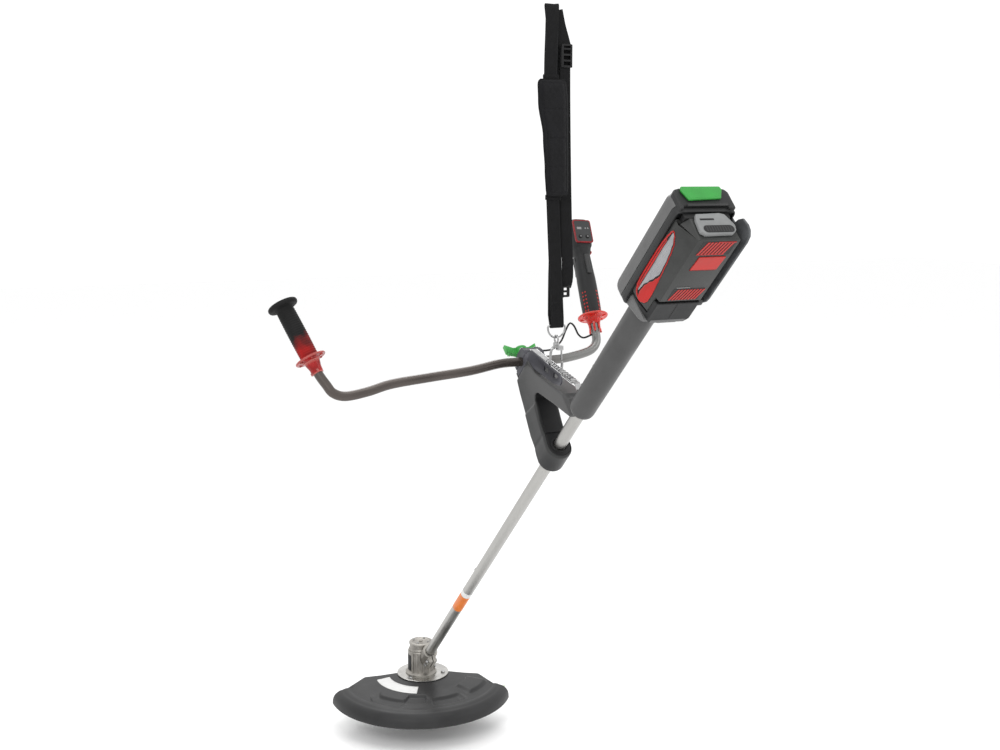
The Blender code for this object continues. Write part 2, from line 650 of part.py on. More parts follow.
def rail():
    finish_mesh("hang_rail", prism(rail_outline(), -RAIL_HALF, RAIL_HALF, side_view), STEEL, SHAFT_FRAME, smooth=False)
    outline = [(1.1073, 0.2000), (1.1340, 0.1910), (1.1460, 0.1720), (1.2010, 0.0810), (1.2030, 0.0720)]
    outline += [(1.1980, 0.0650), (1.1880, 0.0640), (1.1692, 0.0827), (1.1180, 0.1560), (1.1087, 0.1880), (1.1073, 0.1885)]
    plate = prism(outline, -0.0225, -0.0195, side_view)
    plate = finish_mesh("hang_plate", plate, DARK_STEEL, SHAFT_FRAME, smooth=False)
    for along, above in ((1.1620, 0.1220), (1.1860, 0.0880)):
        slot = block((-0.0300, -0.0045, -0.0090), (-0.0150, 0.0045, 0.0090))
        bmesh.ops.rotate(slot, matrix=Matrix.Rotation(math.radians(54), 3, "X"), verts=slot.verts)
        bmesh.ops.translate(slot, vec=(0, above, along), verts=slot.verts)
        boolean(plate, "DIFFERENCE", slot, SHAFT_FRAME)


# ---- rear tube, motor and housing ----
def rear_tube():
    outer = [(SHAFT_BORE, REAR_START), (0.0200, REAR_START), (0.0240, REAR_START + 0.0040), (REAR_RADIUS, REAR_START + 0.0120), (0.0268, REAR_END)]
    inner = [(0.0230, REAR_END), (0.0230, TUBE_END + 0.0200), (SHAFT_BORE, TUBE_END + 0.0200)]
    made = finish_mesh("rear_tube", turned(outer + inner, 28), CHARCOAL, SHAFT_FRAME)
    pad = block((-0.0180, 0.0150, REAR_START), (0.0180, 0.0330, 1.2400), 0.003, 2)
    boolean(made, "UNION", pad, SHAFT_FRAME)
    finish_mesh("motor_stator", tube(0.0226, 0.0132, 1.4250, 1.4850, 32), COPPER, SHAFT_FRAME)
    rotor = turned([(0, 1.4100), (0.0040, 1.4100), (0.0040, 1.4280), (0.0127, 1.4280), (0.0127, 1.4820), (0.0040, 1.4820), (0.0040, 1.5000), (0, 1.5000)], 24)
    finish_mesh("motor_rotor", rotor, STEEL, SHAFT_FRAME)


SHELL_TOP = 0.0440
SHELL_SKIN = 0.0040
SHELL_HIP = 0.0080
FLOOR_LOW = -0.0020
FLOOR_HIGH = 0.0020
SIDE_LOW = -0.0150
SHELF_START = 1.5463
SHELF_END = 1.5970
SIDE_RAISED = -0.0040
WING_IN = 0.0543
WING_OUT = 0.0583
FACE_LOW = -0.0600
BUTTON_HALF = 0.0330


def plan_outline(inset, corner, start=HOUSING_START, end=HOUSING_END, half=HOUSING_HALF):
    """The housing seen from above: a rectangle of the tray's size with its corners cut off, drawn in by inset."""
    low, high, side = start + inset, end - inset, half - inset
    cut = corner - inset * 0.586
    points = [(-side, low + cut), (-side, high - cut), (-side + cut, high), (side - cut, high)]
    points += [(side, high - cut), (side, low + cut), (side - cut, low), (-side + cut, low)]
    return points


def plan_layers(layers, corner=0.0120, start=HOUSING_START, end=HOUSING_END, half=HOUSING_HALF):
    """A solid built of housing outlines, one at each height, with a flat face at each end."""
    shape = bmesh.new()
    rings = []
    for inset, above in layers:
        outline = plan_outline(inset, corner, start, end, half)
        rings.append([shape.verts.new((across, above, along)) for across, along in outline])
    for here, there in zip(rings, rings[1:]):
        bridge(shape, here, there)
    return shape, rings


def housing():
    """A grey shell over a charcoal tray. The tray is a floor plate with a shelf below it for the battery's lower end."""
    outer = [(0.0, SIDE_LOW), (0.0, 0.0260), (SHELL_HIP, SHELL_TOP)]
    inner = [(SHELL_HIP + SHELL_SKIN, SHELL_TOP - SHELL_SKIN), (SHELL_SKIN, 0.0243), (SHELL_SKIN, SIDE_LOW)]
    shape, rings = plan_layers(outer + inner)
    shape.faces.remove(next(face for face in shape.faces if all(vert in rings[2] + rings[3] for vert in face.verts)))
    for face in [face for face in shape.faces if all(vert in rings[2] + rings[3] for vert in face.verts)]:
        shape.faces.remove(face)
    shape.faces.new(rings[2])
    shape.faces.new(list(reversed(rings[3])))
    bridge(shape, rings[5], rings[0])
    shell = finish_mesh("housing_shell", shape, GREY, SHAFT_FRAME)
    pocket_low = (-BUTTON_HALF - 0.0005, 0.0280, 1.7488)
    pocket_high = (BUTTON_HALF + 0.0005, 0.0700, 1.7700)
    bay = HOUSING_HALF - SHELL_SKIN
    boolean(shell, "DIFFERENCE", block((-bay, -0.0300, 1.7000), (bay, -0.0010, 1.7800)), SHAFT_FRAME)
    boolean(shell, "DIFFERENCE", block(pocket_low, pocket_high), SHAFT_FRAME)
    boolean(shell, "DIFFERENCE", block((-0.0700, -0.0300, 1.5640), (-bay + 0.0005, SIDE_RAISED, 1.7800)), SHAFT_FRAME)

    inset = SHELL_SKIN + GAP
    shape, rings = plan_layers([(inset, FLOOR_LOW), (inset, FLOOR_HIGH)])
    shape.faces.new(list(reversed(rings[0])))
    shape.faces.new(rings[1])
    tray = finish_mesh("housing_tray", shape, CHARCOAL, SHAFT_FRAME)
    boolean(tray, "UNION", block((-0.0300, FLOOR_HIGH - 0.001, 1.7380), (0.0300, 0.0370, 1.7485)), SHAFT_FRAME)
    neck = block((-0.0430, SIDE_LOW - 0.0100, 1.5760), (0.0500, FLOOR_LOW + 0.001, SHELF_END))
    boolean(tray, "UNION", neck, SHAFT_FRAME)
    low = SIDE_LOW - GAP
    shelf = [(-0.0550, low), (-0.0420, FACE_LOW), (0.0420, FACE_LOW), (0.0550, low)]
    boolean(tray, "UNION", prism(shelf, SHELF_START, SHELF_END, rear_view), SHAFT_FRAME)
    for side in (-1, 1):
        corner = [(side * 0.0650, 1.5300), (side * 0.0180, 1.5300), (side * 0.0650, 1.5770)]
        cutter = prism(corner, -0.0800, low + 0.0001, lambda across, along, above: (across, above, along))
        boolean(tray, "DIFFERENCE", cutter, SHAFT_FRAME)

    wing_root = block((0.0385, FACE_LOW + 0.0080, 1.5790), (WING_OUT - 0.0005, low - 0.0012, SHELF_END - 0.0008))
    boolean(tray, "UNION", wing_root, SHAFT_FRAME)
    outline = [(1.5810, low - 0.0006), (1.5810, -0.0450), (1.6010, -0.0596), (1.7600, -0.0596), (1.7680, -0.0520), (1.7680, -0.0240), (1.7520, low - 0.0006)]
    boolean(tray, "UNION", prism(outline, WING_IN, WING_OUT, side_view), SHAFT_FRAME)

    boolean(tray, "DIFFERENCE", block((-0.0600, -0.0310, 1.5640), (-0.0436, FLOOR_LOW - 0.0002, 1.6000)), SHAFT_FRAME)

    finish_mesh("controller", block((-0.0380, FLOOR_HIGH + GAP, 1.5800), (0.0380, 0.0250, 1.6500), 0.002), BLACK, SHAFT_FRAME)
    finish_mesh("terminal_block", block((-0.0200, -0.0320, SHELF_END + GAP), (0.0200, -0.0120, BATTERY_START - 0.0008), 0.0008), BLACK, SHAFT_FRAME)
    finish_mesh("release_button", block((-BUTTON_HALF, 0.0284, 1.7515), (BUTTON_HALF, 0.0485, 1.7670), 0.0025, 2), GREEN, SHAFT_FRAME, pivot=(0, 0.0380, 1.7515))


def battery():
    pivot = Vector((0, -0.0300, BATTERY_START))
    top = FLOOR_LOW - GAP
    outline = [(-BATTERY_HALF, top), (-BATTERY_HALF, -0.0180), (-0.0410, FACE_LOW), (0.0410, FACE_LOW), (BATTERY_HALF, -0.0180), (BATTERY_HALF, top)]
    case = finish_mesh("battery_case", prism(outline, BATTERY_START, BATTERY_END, rear_view), CHARCOAL, SHAFT_FRAME, pivot=pivot)
    for side in (-1, 1):
        corner = [(side * 0.0650, 1.7700), (side * 0.0230, 1.7700), (side * 0.0650, 1.7280)]
        cutter = prism(corner, -0.0800, 0.0200, lambda across, along, above: (across, above, along))
        boolean(case, "DIFFERENCE", cutter, SHAFT_FRAME)
    bevelled(case, 0.0040, 2)
    skirt = [(-0.0528, top - 0.0004), (-0.0528, -0.0180), (-0.0496, -0.0295), (-0.0446, -0.0295), (-0.0446, top - 0.0004)]
    boolean(case, "UNION", prism(skirt, 1.5670, 1.6150, rear_view), SHAFT_FRAME)
    latch = block((-0.0270, -0.0480, BATTERY_END + GAP), (0.0270, -0.0130, BATTERY_END + 0.0055), 0.0015)
    latch = finish_mesh("battery_latch", latch, BLACK, SHAFT_FRAME, pivot=(0, -0.0300, BATTERY_END))
    boolean(latch, "DIFFERENCE", block((-0.0160, -0.0400, BATTERY_END + 0.0030), (0.0160, -0.0260, BATTERY_END + 0.0100)), SHAFT_FRAME)


# ---- handlebar and grips ----
LEFT_BASE = Vector((-0.4670, 0, 0.0300))
LEFT_AXIS = Vector((-0.0420, 0, 0.1250)).normalized()
LEFT_LENGTH = 0.1300
RIGHT_BASE = Vector((0.1700, 0, 0.0860))
RIGHT_AXIS = Vector((0.0100, 0, 0.1740)).normalized()
GRIP_BORE = BAR_RADIUS + GAP


def handlebar():
    left = [LEFT_BASE + LEFT_AXIS * reach for reach in (0.0850, 0.0600, 0.0350, 0.0100, -0.0120, -0.0300)]
    right = [RIGHT_BASE + RIGHT_AXIS * reach for reach in (-0.0300, -0.0120, 0.0100, 0.0350, 0.0650)]
    middle = [(-0.4460, -0.0205), (-0.4350, -0.0380), (-0.4110, -0.0460), (-0.3650, -0.0400), (-0.3130, -0.0280), (-0.2310, -0.0200), (-0.1410, -0.0120)]
    middle += [(-0.0750, -0.0015), (-0.0350, 0.0), (0.0, 0.0), (0.0350, 0.0), (0.0750, 0.0010), (0.1240, 0.0090), (0.1500, 0.0180), (0.1645, 0.0340)]
    route = left + [Vector((x, 0, rise)) for x, rise in middle] + right
    bar = hollow_swept(thinned(smooth_path(route, 0.0040), math.radians(4), 0.030), BAR_RADIUS, BAR_BORE, 16)
    finish_mesh("handlebar", bar, BAR_PAINT, BAR_FRAME)


def on_grip(shape, base, axis):
    return aimed(shape, axis, base)


def flange(name, base, axis, radius):
    profile = [(GRIP_BORE, 0.0), (0.0170, 0.0), (0.0190, 0.0030), (radius, 0.0045), (radius, 0.0070), (0.0190, 0.0080), (GRIP_BORE, 0.0080)]
    finish_mesh(name, on_grip(turned(profile, 28), base, axis), RED, BAR_FRAME)


def left_grip():
    end = LEFT_LENGTH
    profile = [(0, 0.0900), (GRIP_BORE, 0.0900), (GRIP_BORE, 0.0083), (0.0185, 0.0083), (0.0180, 0.0300), (0.0190, 0.0650), (0.0178, end - 0.012)]
    profile += [(0.0285, end - 0.0060), (0.0300, end - 0.0035), (0.0290, end - 0.0010), (0.0260, end), (0, end)]
    finish_mesh("left_grip", on_grip(turned(profile, 24), LEFT_BASE, LEFT_AXIS), RUBBER, BAR_FRAME)
    flange("left_flange", LEFT_BASE, LEFT_AXIS, 0.0315)


def right_grip():
    profile = [(0, 0.0750), (GRIP_BORE, 0.0750), (GRIP_BORE, 0.0083), (0.0190, 0.0083), (0.0186, 0.0400), (0.0194, 0.0900), (0.0200, 0.1700), (0, 0.1700)]
    grip = finish_mesh("right_grip", on_grip(turned(profile, 24), RIGHT_BASE, RIGHT_AXIS), CHARCOAL, BAR_FRAME)

    def cut(kind, low, high, edge=0.0, segments=1):
        boolean(grip, kind, on_grip(block(low, high, edge, segments), RIGHT_BASE, RIGHT_AXIS), BAR_FRAME)

    cut("UNION", (-0.0240, -0.0220, 0.1620), (0.0240, 0.0220, 0.2300), 0.0070, 3)
    cut("DIFFERENCE", (-0.0075, 0.0080, 0.1080), (0.0075, 0.0300, 0.1585))
    cut("DIFFERENCE", (-0.0054, -0.0300, 0.0996), (0.0054, -0.0110, 0.1454))
    flange("right_flange", RIGHT_BASE, RIGHT_AXIS, 0.0330)

    bezel = on_grip(block((-0.0215, -0.0262, 0.1710), (0.0215, -0.0223, 0.2250), 0.0012), RIGHT_BASE, RIGHT_AXIS)
    bezel = finish_mesh("right_bezel", bezel, RED, BAR_FRAME)
    for number, across in ((1, -0.0085), (2, 0.0085)):
        place = (across, 0, 0.1850)
        hole = aimed(rod(0.0045, -0.035, -0.015, 16), Vector((0, 1, 0)), place)
        boolean(bezel, "DIFFERENCE", on_grip(hole, RIGHT_BASE, RIGHT_AXIS), BAR_FRAME)
        button = on_grip(aimed(rod(0.0042, -0.0275, -0.0236, 16, 0.0006), Vector((0, 1, 0)), place), RIGHT_BASE, RIGHT_AXIS)
        finish_mesh(f"display_button_{number}", button, BLACK, BAR_FRAME, pivot=RIGHT_BASE + RIGHT_AXIS * 0.1850)

    lever = [(0.1570, 0.0110), (0.1570, 0.0290), (0.1450, 0.0330), (0.1250, 0.0310), (0.1130, 0.0330), (0.1100, 0.0300), (0.1200, 0.0230), (0.1400, 0.0190), (0.1500, 0.0110)]
    lever = on_grip(prism(lever, -0.0070, 0.0070, side_view), RIGHT_BASE, RIGHT_AXIS)
    trigger_pivot = RIGHT_BASE + RIGHT_AXIS * 0.1530 + Vector((0, 0.0150, 0))
    bevelled(finish_mesh("trigger", lever, RED, BAR_FRAME, pivot=trigger_pivot), 0.0012)
    key = on_grip(block((-0.0050, -0.0235, 0.1000), (0.0050, -0.0155, 0.1450), 0.0012), RIGHT_BASE, RIGHT_AXIS)
    finish_mesh("lock_off", key, RED, BAR_FRAME, pivot=RIGHT_BASE + RIGHT_AXIS * 0.1225)


def control_cable():
    route = [(0.1530, 0.1270, 0.0430), (0.1320, 0.1270, 0.0370), (0.1190, 0.1270, 0.0450), (0.1090, 0.1270, 0.0630), (0.0985, 0.1270, 0.0700)]
    route += [(0.0890, 0.1270, 0.0560), (0.0780, 0.1270, 0.0330), (0.0600, 0.1270, 0.0180), (0.0420, 0.1260, 0.0150), (0.0262, 0.1252, 0.0160)]
    cord("control_cable", route, 0.0020, 0.0055, BLACK, None)


# ---- shoulder strap and hook ----
def band(path, width, thick):
    """A flat strap that closes on itself, its width held across the tool."""
    shape = bmesh.new()
    rows = []
    for step, point in enumerate(path):
        ahead = (path[(step + 1) % len(path)] - path[step - 1]).normalized()
        side = (ACROSS - ahead * ahead.x).normalized()
        out = side.cross(ahead)
        corners = [(-width / 2, -thick / 2), (width / 2, -thick / 2), (width / 2, thick / 2), (-width / 2, thick / 2)]
        rows.append([shape.verts.new(point + side * a + out * b) for a, b in corners])
    for here, there in zip(rows, rows[1:] + rows[:1]):
        bridge(shape, here, there)
    return shape


REAR_STRAND = [(-0.0025, -0.0080, 0.1050), (-0.0100, -0.0125, 0.2000), (-0.0190, -0.0130, 0.3900), (-0.0230, -0.0130, 0.5600), (-0.0200, -0.0110, 0.6500)]
FRONT_STRAND = [(-0.0050, 0.0110, 0.6500), (0.0050, 0.0130, 0.5600), (0.0080, 0.0130, 0.3900), (0.0070, 0.0125, 0.2000), (0.0000, 0.0080, 0.1050)]
D_BAR = 0.0840


def strap():
    turn = [(0.0, -0.0042, 0.0870), (0.0, -0.0030, 0.0812), (0.0, 0.0, 0.0798), (0.0, 0.0030, 0.0812), (0.0, 0.0042, 0.0870)]
    fold = [(-0.0175, -0.0070, STRAP_TOP - 0.008), (-0.0150, 0.0, STRAP_TOP), (-0.0120, 0.0070, STRAP_TOP - 0.008)]
    points = [Vector(p) for p in REAR_STRAND + fold + FRONT_STRAND]
    back = [Vector(p) for p in reversed(turn)]
    loop = thinned(smooth_path(points, 0.004), math.radians(5)) + smooth_path([points[-1]] + back + [points[0]], 0.0030)[1:-1]
    finish_mesh("strap_loop", band(loop, STRAP_WIDTH, STRAP_THICK), WEBBING, STRAP_FRAME)
    outline = [(-0.0340, 0.3400), (-0.0410, 0.4500), (-0.0500, 0.5200), (-0.0500, 0.5600)]
    outline += [(0.0050, 0.5600), (0.0100, 0.5200), (0.0120, 0.4500), (0.0130, 0.3400)]
    cushion = prism(outline, -0.0245, -0.0150, lambda across, height, along: (across, along, height))
    bevelled(finish_mesh("shoulder_pad", cushion, WEBBING, STRAP_FRAME), 0.0030, 2)

    adjuster = finish_mesh("strap_adjuster", block((0.0110, -0.0040, 0.1380), (0.0310, 0.0050, 0.1640), 0.0020, 2), BLACK, STRAP_FRAME)
    for height in (0.1450, 0.1550):
        boolean(adjuster, "DIFFERENCE", block((0.0145, -0.0150, height - 0.0028), (0.0275, 0.0150, height + 0.0028)), STRAP_FRAME)


def hook():
    ring_path = []
    half = 0.0190
    for step in range(13):
        turn = math.pi * step / 12
        ring_path.append(Vector((half * math.cos(turn), 0, 0.0786 - half * math.sin(turn))))
    ring_path += [Vector((-half, 0, 0.0800)), Vector((-half + 0.002, 0, D_BAR)), Vector((0, 0, D_BAR)), Vector((half - 0.002, 0, D_BAR)), Vector((half, 0, 0.0800))]
    finish_mesh("d_ring", swept(ring_path, circle_section(0.0019, 10), closed=True), STEEL, STRAP_FRAME)

    route = [(-0.0020, 0, 0.0440), (-0.0105, 0, 0.0350), (-0.0135, 0, 0.0180), (-0.0138, 0, 0.0040), (-0.0110, 0, -0.0050), (0, 0, -0.0085)]
    route += [(0.0110, 0, -0.0050), (0.0135, 0, 0.0040), (0.0130, 0, 0.0090)]
    body = finish_mesh("hook_body", swept(thinned(smooth_path(route, 0.0020), math.radians(12)), circle_section(0.0027, 10)), STEEL, STRAP_FRAME)
    boolean(body, "UNION", rod(0.0062, 0.0385, 0.0500, 20, 0.001), STRAP_FRAME)
    eye = [(0.0075 + 0.0018 * math.cos(math.pi * k / 4), 0.0018 * math.sin(math.pi * k / 4)) for k in range(8)]
    eye = aimed(turned(eye, 24), ACROSS, (0, 0, 0.0562))
    boolean(body, "UNION", eye, STRAP_FRAME)
    boolean(body, "UNION", block((0.0005, -0.0040, 0.0335), (0.0145, 0.0040, 0.0425), 0.001), STRAP_FRAME)
    boolean(body, "DIFFERENCE", block((0.0060, -0.0024, 0.0300), (0.0200, 0.0024, 0.0450)), STRAP_FRAME)
    gate = aimed(rod(0.0020, 0.0, 0.0260, 12, 0.0004), -UP, (0.0118, 0, 0.0395))
    finish_mesh("hook_gate", gate, STEEL, STRAP_FRAME, pivot=(0.0118, 0, 0.0375))


def build():
    gear_case()
    case_fittings()
    drive_line()
    guard_plate()
    guard()
    guard_fittings()
    cutting_head()
    yoke()
    clamp()
    rail()
    rear_tube()
    housing()
    battery()
    handlebar()
    left_grip()
    right_grip()
    control_cable()
    strap()
    hook()


build()
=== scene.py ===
"""Looks of the brush cutter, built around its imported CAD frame.

Metres, in the row frame: +X is the operator's right, +Y forward to the cutting head, +Z up. Three
working frames are read from the record's joints, so that a piece is drawn in the directions of the
part it belongs to:
  HEAD   upright, at the point where the spindle and the shaft meet
  SHAFT  X across, Y square to the shaft and upward, Z up along the shaft from the gear case
  BAR    X across, Z in the direction that the grips rise, at the clamp on the handlebar
"""
import json
import math

import bmesh
import bpy
from mathutils import Matrix, Vector


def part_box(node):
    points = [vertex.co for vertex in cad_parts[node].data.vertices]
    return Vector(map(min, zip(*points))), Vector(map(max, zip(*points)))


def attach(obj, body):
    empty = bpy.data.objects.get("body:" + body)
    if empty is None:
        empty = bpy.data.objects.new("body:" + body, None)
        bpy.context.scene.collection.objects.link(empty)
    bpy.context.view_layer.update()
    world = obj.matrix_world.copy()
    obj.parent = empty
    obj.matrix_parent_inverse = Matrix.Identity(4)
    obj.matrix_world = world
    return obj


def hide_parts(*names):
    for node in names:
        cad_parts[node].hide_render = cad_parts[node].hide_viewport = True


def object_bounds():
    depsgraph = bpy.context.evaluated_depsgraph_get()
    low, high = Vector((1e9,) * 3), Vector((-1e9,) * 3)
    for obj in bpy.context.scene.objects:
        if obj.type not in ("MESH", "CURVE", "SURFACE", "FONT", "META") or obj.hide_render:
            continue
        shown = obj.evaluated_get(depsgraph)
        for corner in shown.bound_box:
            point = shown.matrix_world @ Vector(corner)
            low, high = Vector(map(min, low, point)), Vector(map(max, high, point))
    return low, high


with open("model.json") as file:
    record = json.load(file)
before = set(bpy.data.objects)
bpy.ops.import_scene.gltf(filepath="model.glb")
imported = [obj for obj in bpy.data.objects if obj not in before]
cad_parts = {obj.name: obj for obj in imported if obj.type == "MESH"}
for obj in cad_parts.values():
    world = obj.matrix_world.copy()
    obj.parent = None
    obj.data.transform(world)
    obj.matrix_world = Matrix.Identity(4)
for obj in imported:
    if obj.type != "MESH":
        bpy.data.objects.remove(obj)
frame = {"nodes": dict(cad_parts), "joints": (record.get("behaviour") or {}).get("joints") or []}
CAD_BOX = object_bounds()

UP = Vector((0, 0, 1))
FORWARD = Vector((0, 1, 0))
ACROSS = Vector((1, 0, 0))
ORIGIN = Vector((0, 0, 0))

JOINTS = {joint["name"]: joint for joint in frame["joints"]}
HEAD_CENTRE = Vector(JOINTS["head_spin"]["pos_m"])
BAR_CENTRE = Vector(JOINTS["handlebar_tilt"]["pos_m"])
SHAFT_UP = Vector(JOINTS["battery_slide"]["axis"]).normalized()
BAR_FORWARD = Vector(JOINTS["lock_off_press"]["axis"]).normalized()


def frame_matrix(centre, forward, up):
    """A frame at a centre, with X across, Y forward and Z up."""
    turn = Matrix((ACROSS, forward, up)).transposed().to_4x4()
    return Matrix.Translation(centre) @ turn


HEAD = Matrix.Translation(HEAD_CENTRE)
SHAFT = frame_matrix(HEAD_CENTRE, SHAFT_UP.cross(ACROSS), SHAFT_UP)
BAR = frame_matrix(BAR_CENTRE, BAR_FORWARD, ACROSS.cross(BAR_FORWARD))
WORLD = Matrix.Identity(4)

# ---- camera, floor and light ----
LENS = 45
VIEW_FROM = HEAD_CENTRE + Vector((-1.1493, -2.9499, 1.2749))
VIEW_TURN = math.radians(-25)
VIEW_DIP = math.radians(9)
FLOOR_DROP = 0.012


def studio():
    """The camera, the pale floor and the soft lamps in a white world."""
    camera = bpy.data.objects.new("camera", bpy.data.cameras.new("camera"))
    camera.data.lens = LENS
    camera.data.sensor_width = 36
    camera.data.clip_end = 50
    camera.location = VIEW_FROM
    camera.rotation_euler = (math.pi / 2 - VIEW_DIP, 0, VIEW_TURN)
    bpy.context.scene.collection.objects.link(camera)
    bpy.context.scene.camera = camera

    bpy.ops.mesh.primitive_plane_add(size=30, location=(0, 0, CAD_BOX[0][2] - FLOOR_DROP))
    floor = bpy.context.object
    floor.name = "floor"
    floor.data.materials.append(plain_material("floor_paint", (0.90, 0.90, 0.90), 0.9))

    bpy.context.scene.view_settings.view_transform = "Standard"
    world = bpy.data.worlds.new("studio")
    world.use_nodes = True
    world.node_tree.nodes["Background"].inputs["Color"].default_value = (1.0, 1.0, 1.0, 1)
    world.node_tree.nodes["Background"].inputs["Strength"].default_value = 1.10
    bpy.context.scene.world = world
    lamps = [
        ("key", (-2.6, -2.4, 2.6), 1.4, 42),
        ("fill", (2.8, -1.6, 1.4), 2.0, 14),
        ("rim", (0.6, 3.0, 2.4), 1.6, 34),
        ("top", (0.0, 0.0, 3.4), 2.2, 26),
    ]
    for name, place, size, power in lamps:
        lamp = bpy.data.lights.new(name, "AREA")
        lamp.size = size
        lamp.energy = power
        holder = bpy.data.objects.new(name, lamp)
        holder.location = place
        holder.rotation_euler = (Vector((0, 0.2, -0.1)) - Vector(place)).to_track_quat("-Z", "Y").to_euler()
        bpy.context.scene.collection.objects.link(holder)


# ---- materials ----
def plain_material(name, colour, roughness):
    """A plain paint, used for the floor."""
    made = bpy.data.materials.new(name)
    made.use_nodes = True
    shader = made.node_tree.nodes["Principled BSDF"]
    shader.inputs["Base Color"].default_value = (*colour, 1)
    shader.inputs["Roughness"].default_value = roughness
    return made


class Surface:
    """A material whose colour, roughness and bump each come from noise at a real scale."""

    def __init__(self, name, colour, roughness, metallic=0.0, **fixed):
        """Starts from one colour, roughness and metallic value. fixed holds other shader inputs."""
        self.material = bpy.data.materials.new(name)
        self.material.use_nodes = True
        self.tree = self.material.node_tree
        self.shader = self.tree.nodes["Principled BSDF"]
        self.shader.inputs["Metallic"].default_value = metallic
        for socket, value in fixed.items():
            self.shader.inputs[socket.replace("_", " ")].default_value = value
        self.place = self.tree.nodes.new("ShaderNodeTexCoord").outputs["Object"]
        self.colour = None
        self.height = None
        self.base = colour
        self.roughness = roughness

    def node(self, kind, inputs=None, **settings):
        """Adds a shader node, links or sets its inputs, and applies its settings."""
        made = self.tree.nodes.new(kind)
        for name, value in settings.items():
            setattr(made, name, value)
        for name, value in (inputs or {}).items():
            if isinstance(value, bpy.types.NodeSocket):
                self.tree.links.new(value, made.inputs[name])
            else:
                made.inputs[name].default_value = value
        return made

    def noise(self, scale, detail=3.0, stretch=None, turn=(0, 0, 0)):
        """Noise, turned and stretched along one direction if asked."""
        place = self.place
        if stretch:
            place = self.node("ShaderNodeMapping", {"Vector": place, "Rotation": turn}).outputs["Vector"]
            place = self.node("ShaderNodeMapping", {"Vector": place, "Scale": stretch}).outputs["Vector"]
        return self.node(
            "ShaderNodeTexNoise", {"Vector": place, "Scale": scale, "Detail": detail}
        ).outputs["Fac"]

    def ranged(self, value, low, high, start=0.35, end=0.65):
        """Spreads a value between low and high as it passes from start to end."""
        inputs = {"Value": value, "From Min": start, "From Max": end, "To Min": low, "To Max": high}
        return self.node("ShaderNodeMapRange", inputs).outputs["Result"]

    def mixed(self, factor, first, second):
        """Mixes two colours by a factor."""
        made = self.node("ShaderNodeMix", data_type="RGBA")
        for socket, value in zip((0, 6, 7), (factor, first, second)):
            if isinstance(value, bpy.types.NodeSocket):
                self.tree.links.new(value, made.inputs[socket])
            else:
                made.inputs[socket].default_value = value
        return made.outputs[2]

    def mottle(self, scale=25.0, amount=0.15):
        """Lets the colour and the roughness drift across the surface."""
        drift = self.noise(scale, 5.0)
        dark = tuple(c * (1 - amount) for c in self.base) + (1,)
        light = tuple(min(1, c * (1 + amount)) for c in self.base) + (1,)
        self.colour = self.mixed(self.ranged(drift, 0, 1), dark, light)
        rough = self.ranged(drift, max(0.03, self.roughness - 0.07), min(1, self.roughness + 0.07))
        self.tree.links.new(rough, self.shader.inputs["Roughness"])
        return self

    def edge_wear_and_highlight(self, colour, amount=0.6, start=0.53, end=0.62):
        """Lightens the edges: the wear of hands and the ground, and on the clear red flanges and hubs a
        painted highlight along their rims.
        """
        edge = self.node("ShaderNodeNewGeometry").outputs["Pointiness"]
        edge_lightening = self.ranged(edge, 0, amount, start, end)
        self.colour = self.mixed(edge_lightening, self.colour, (*colour, 1))
        return self

    def bump(self, height, strength, distance):
        """Adds a layer of bump on top of those already there."""
        inputs = {"Height": height, "Strength": strength, "Distance": distance}
        if self.height:
            inputs["Normal"] = self.height
        self.height = self.node("ShaderNodeBump", inputs).outputs["Normal"]
        return self

    def grain(self, scale=1400.0, strength=0.25, distance=0.0004):
        """The fine grain of a moulded or cast surface."""
        return self.bump(self.noise(scale, 2.0), strength, distance)

    def brushed(self, turn, strength=0.12, scale=60.0):
        """Fine lines along one direction, as drawn tube has."""
        lines = self.noise(scale, 4.0, (30, 30, 0.35), turn)
        return self.bump(lines, strength, 0.0003)

    def woven(self, across, along, strength=0.6):
        """Ribs of webbing: fine cords along Z, crossed by picks."""
        ribs = self.node(
            "ShaderNodeTexWave", {"Vector": self.place, "Scale": across, "Distortion": 0.3},
            bands_direction="X"
        )
        picks = self.node(
            "ShaderNodeTexWave", {"Vector": self.place, "Scale": along, "Distortion": 0.6},
            bands_direction="Z"
        )
        self.bump(ribs.outputs["Fac"], strength, 0.0006)
        self.bump(picks.outputs["Fac"], strength * 0.7, 0.0005)
        return self

    def along(self, base, axis):
        """How far a point lies from a base along an axis."""
        offset = self.node("ShaderNodeVectorMath", operation="SUBTRACT")
        self.tree.links.new(self.place, offset.inputs[0])
        offset.inputs[1].default_value = base
        reach = self.node("ShaderNodeVectorMath", operation="DOT_PRODUCT")
        self.tree.links.new(offset.outputs["Vector"], reach.inputs[0])
        reach.inputs[1].default_value = axis
        return reach.outputs["Value"]

    def fade(self, value, colour, start, end, waver=0.0, scale=60.0):
        """Changes to another colour as a value passes from start to end, with a wavering border."""
        if waver:
            drift = self.ranged(self.noise(scale, 4.0), -waver, waver, 0.3, 0.7)
            total = self.node("ShaderNodeMath", operation="ADD")
            self.tree.links.new(value, total.inputs[0])
            self.tree.links.new(drift, total.inputs[1])
            value = total.outputs["Value"]
        self.colour = self.mixed(self.ranged(value, 0, 1, start, end), self.colour, (*colour, 1))
        return self

    def knurled(self, scale=900.0, strength=0.8):
        """Two sets of fine crossing ridges."""
        for turn in (0.7, -0.7):
            place = self.node(
                "ShaderNodeMapping", {"Vector": self.place, "Rotation": (turn, 0, 0)}
            ).outputs["Vector"]
            wave = self.node("ShaderNodeTexWave", {"Vector": place, "Scale": scale}, bands_direction="Z")
            self.bump(wave.outputs["Fac"], strength, 0.0004)
        return self

    def done(self):
        """Connects the colour and the bump, and returns the material."""
        if self.colour:
            self.tree.links.new(self.colour, self.shader.inputs["Base Color"])
        if self.height:
            self.tree.links.new(self.height, self.shader.inputs["Normal"])
        return self.material


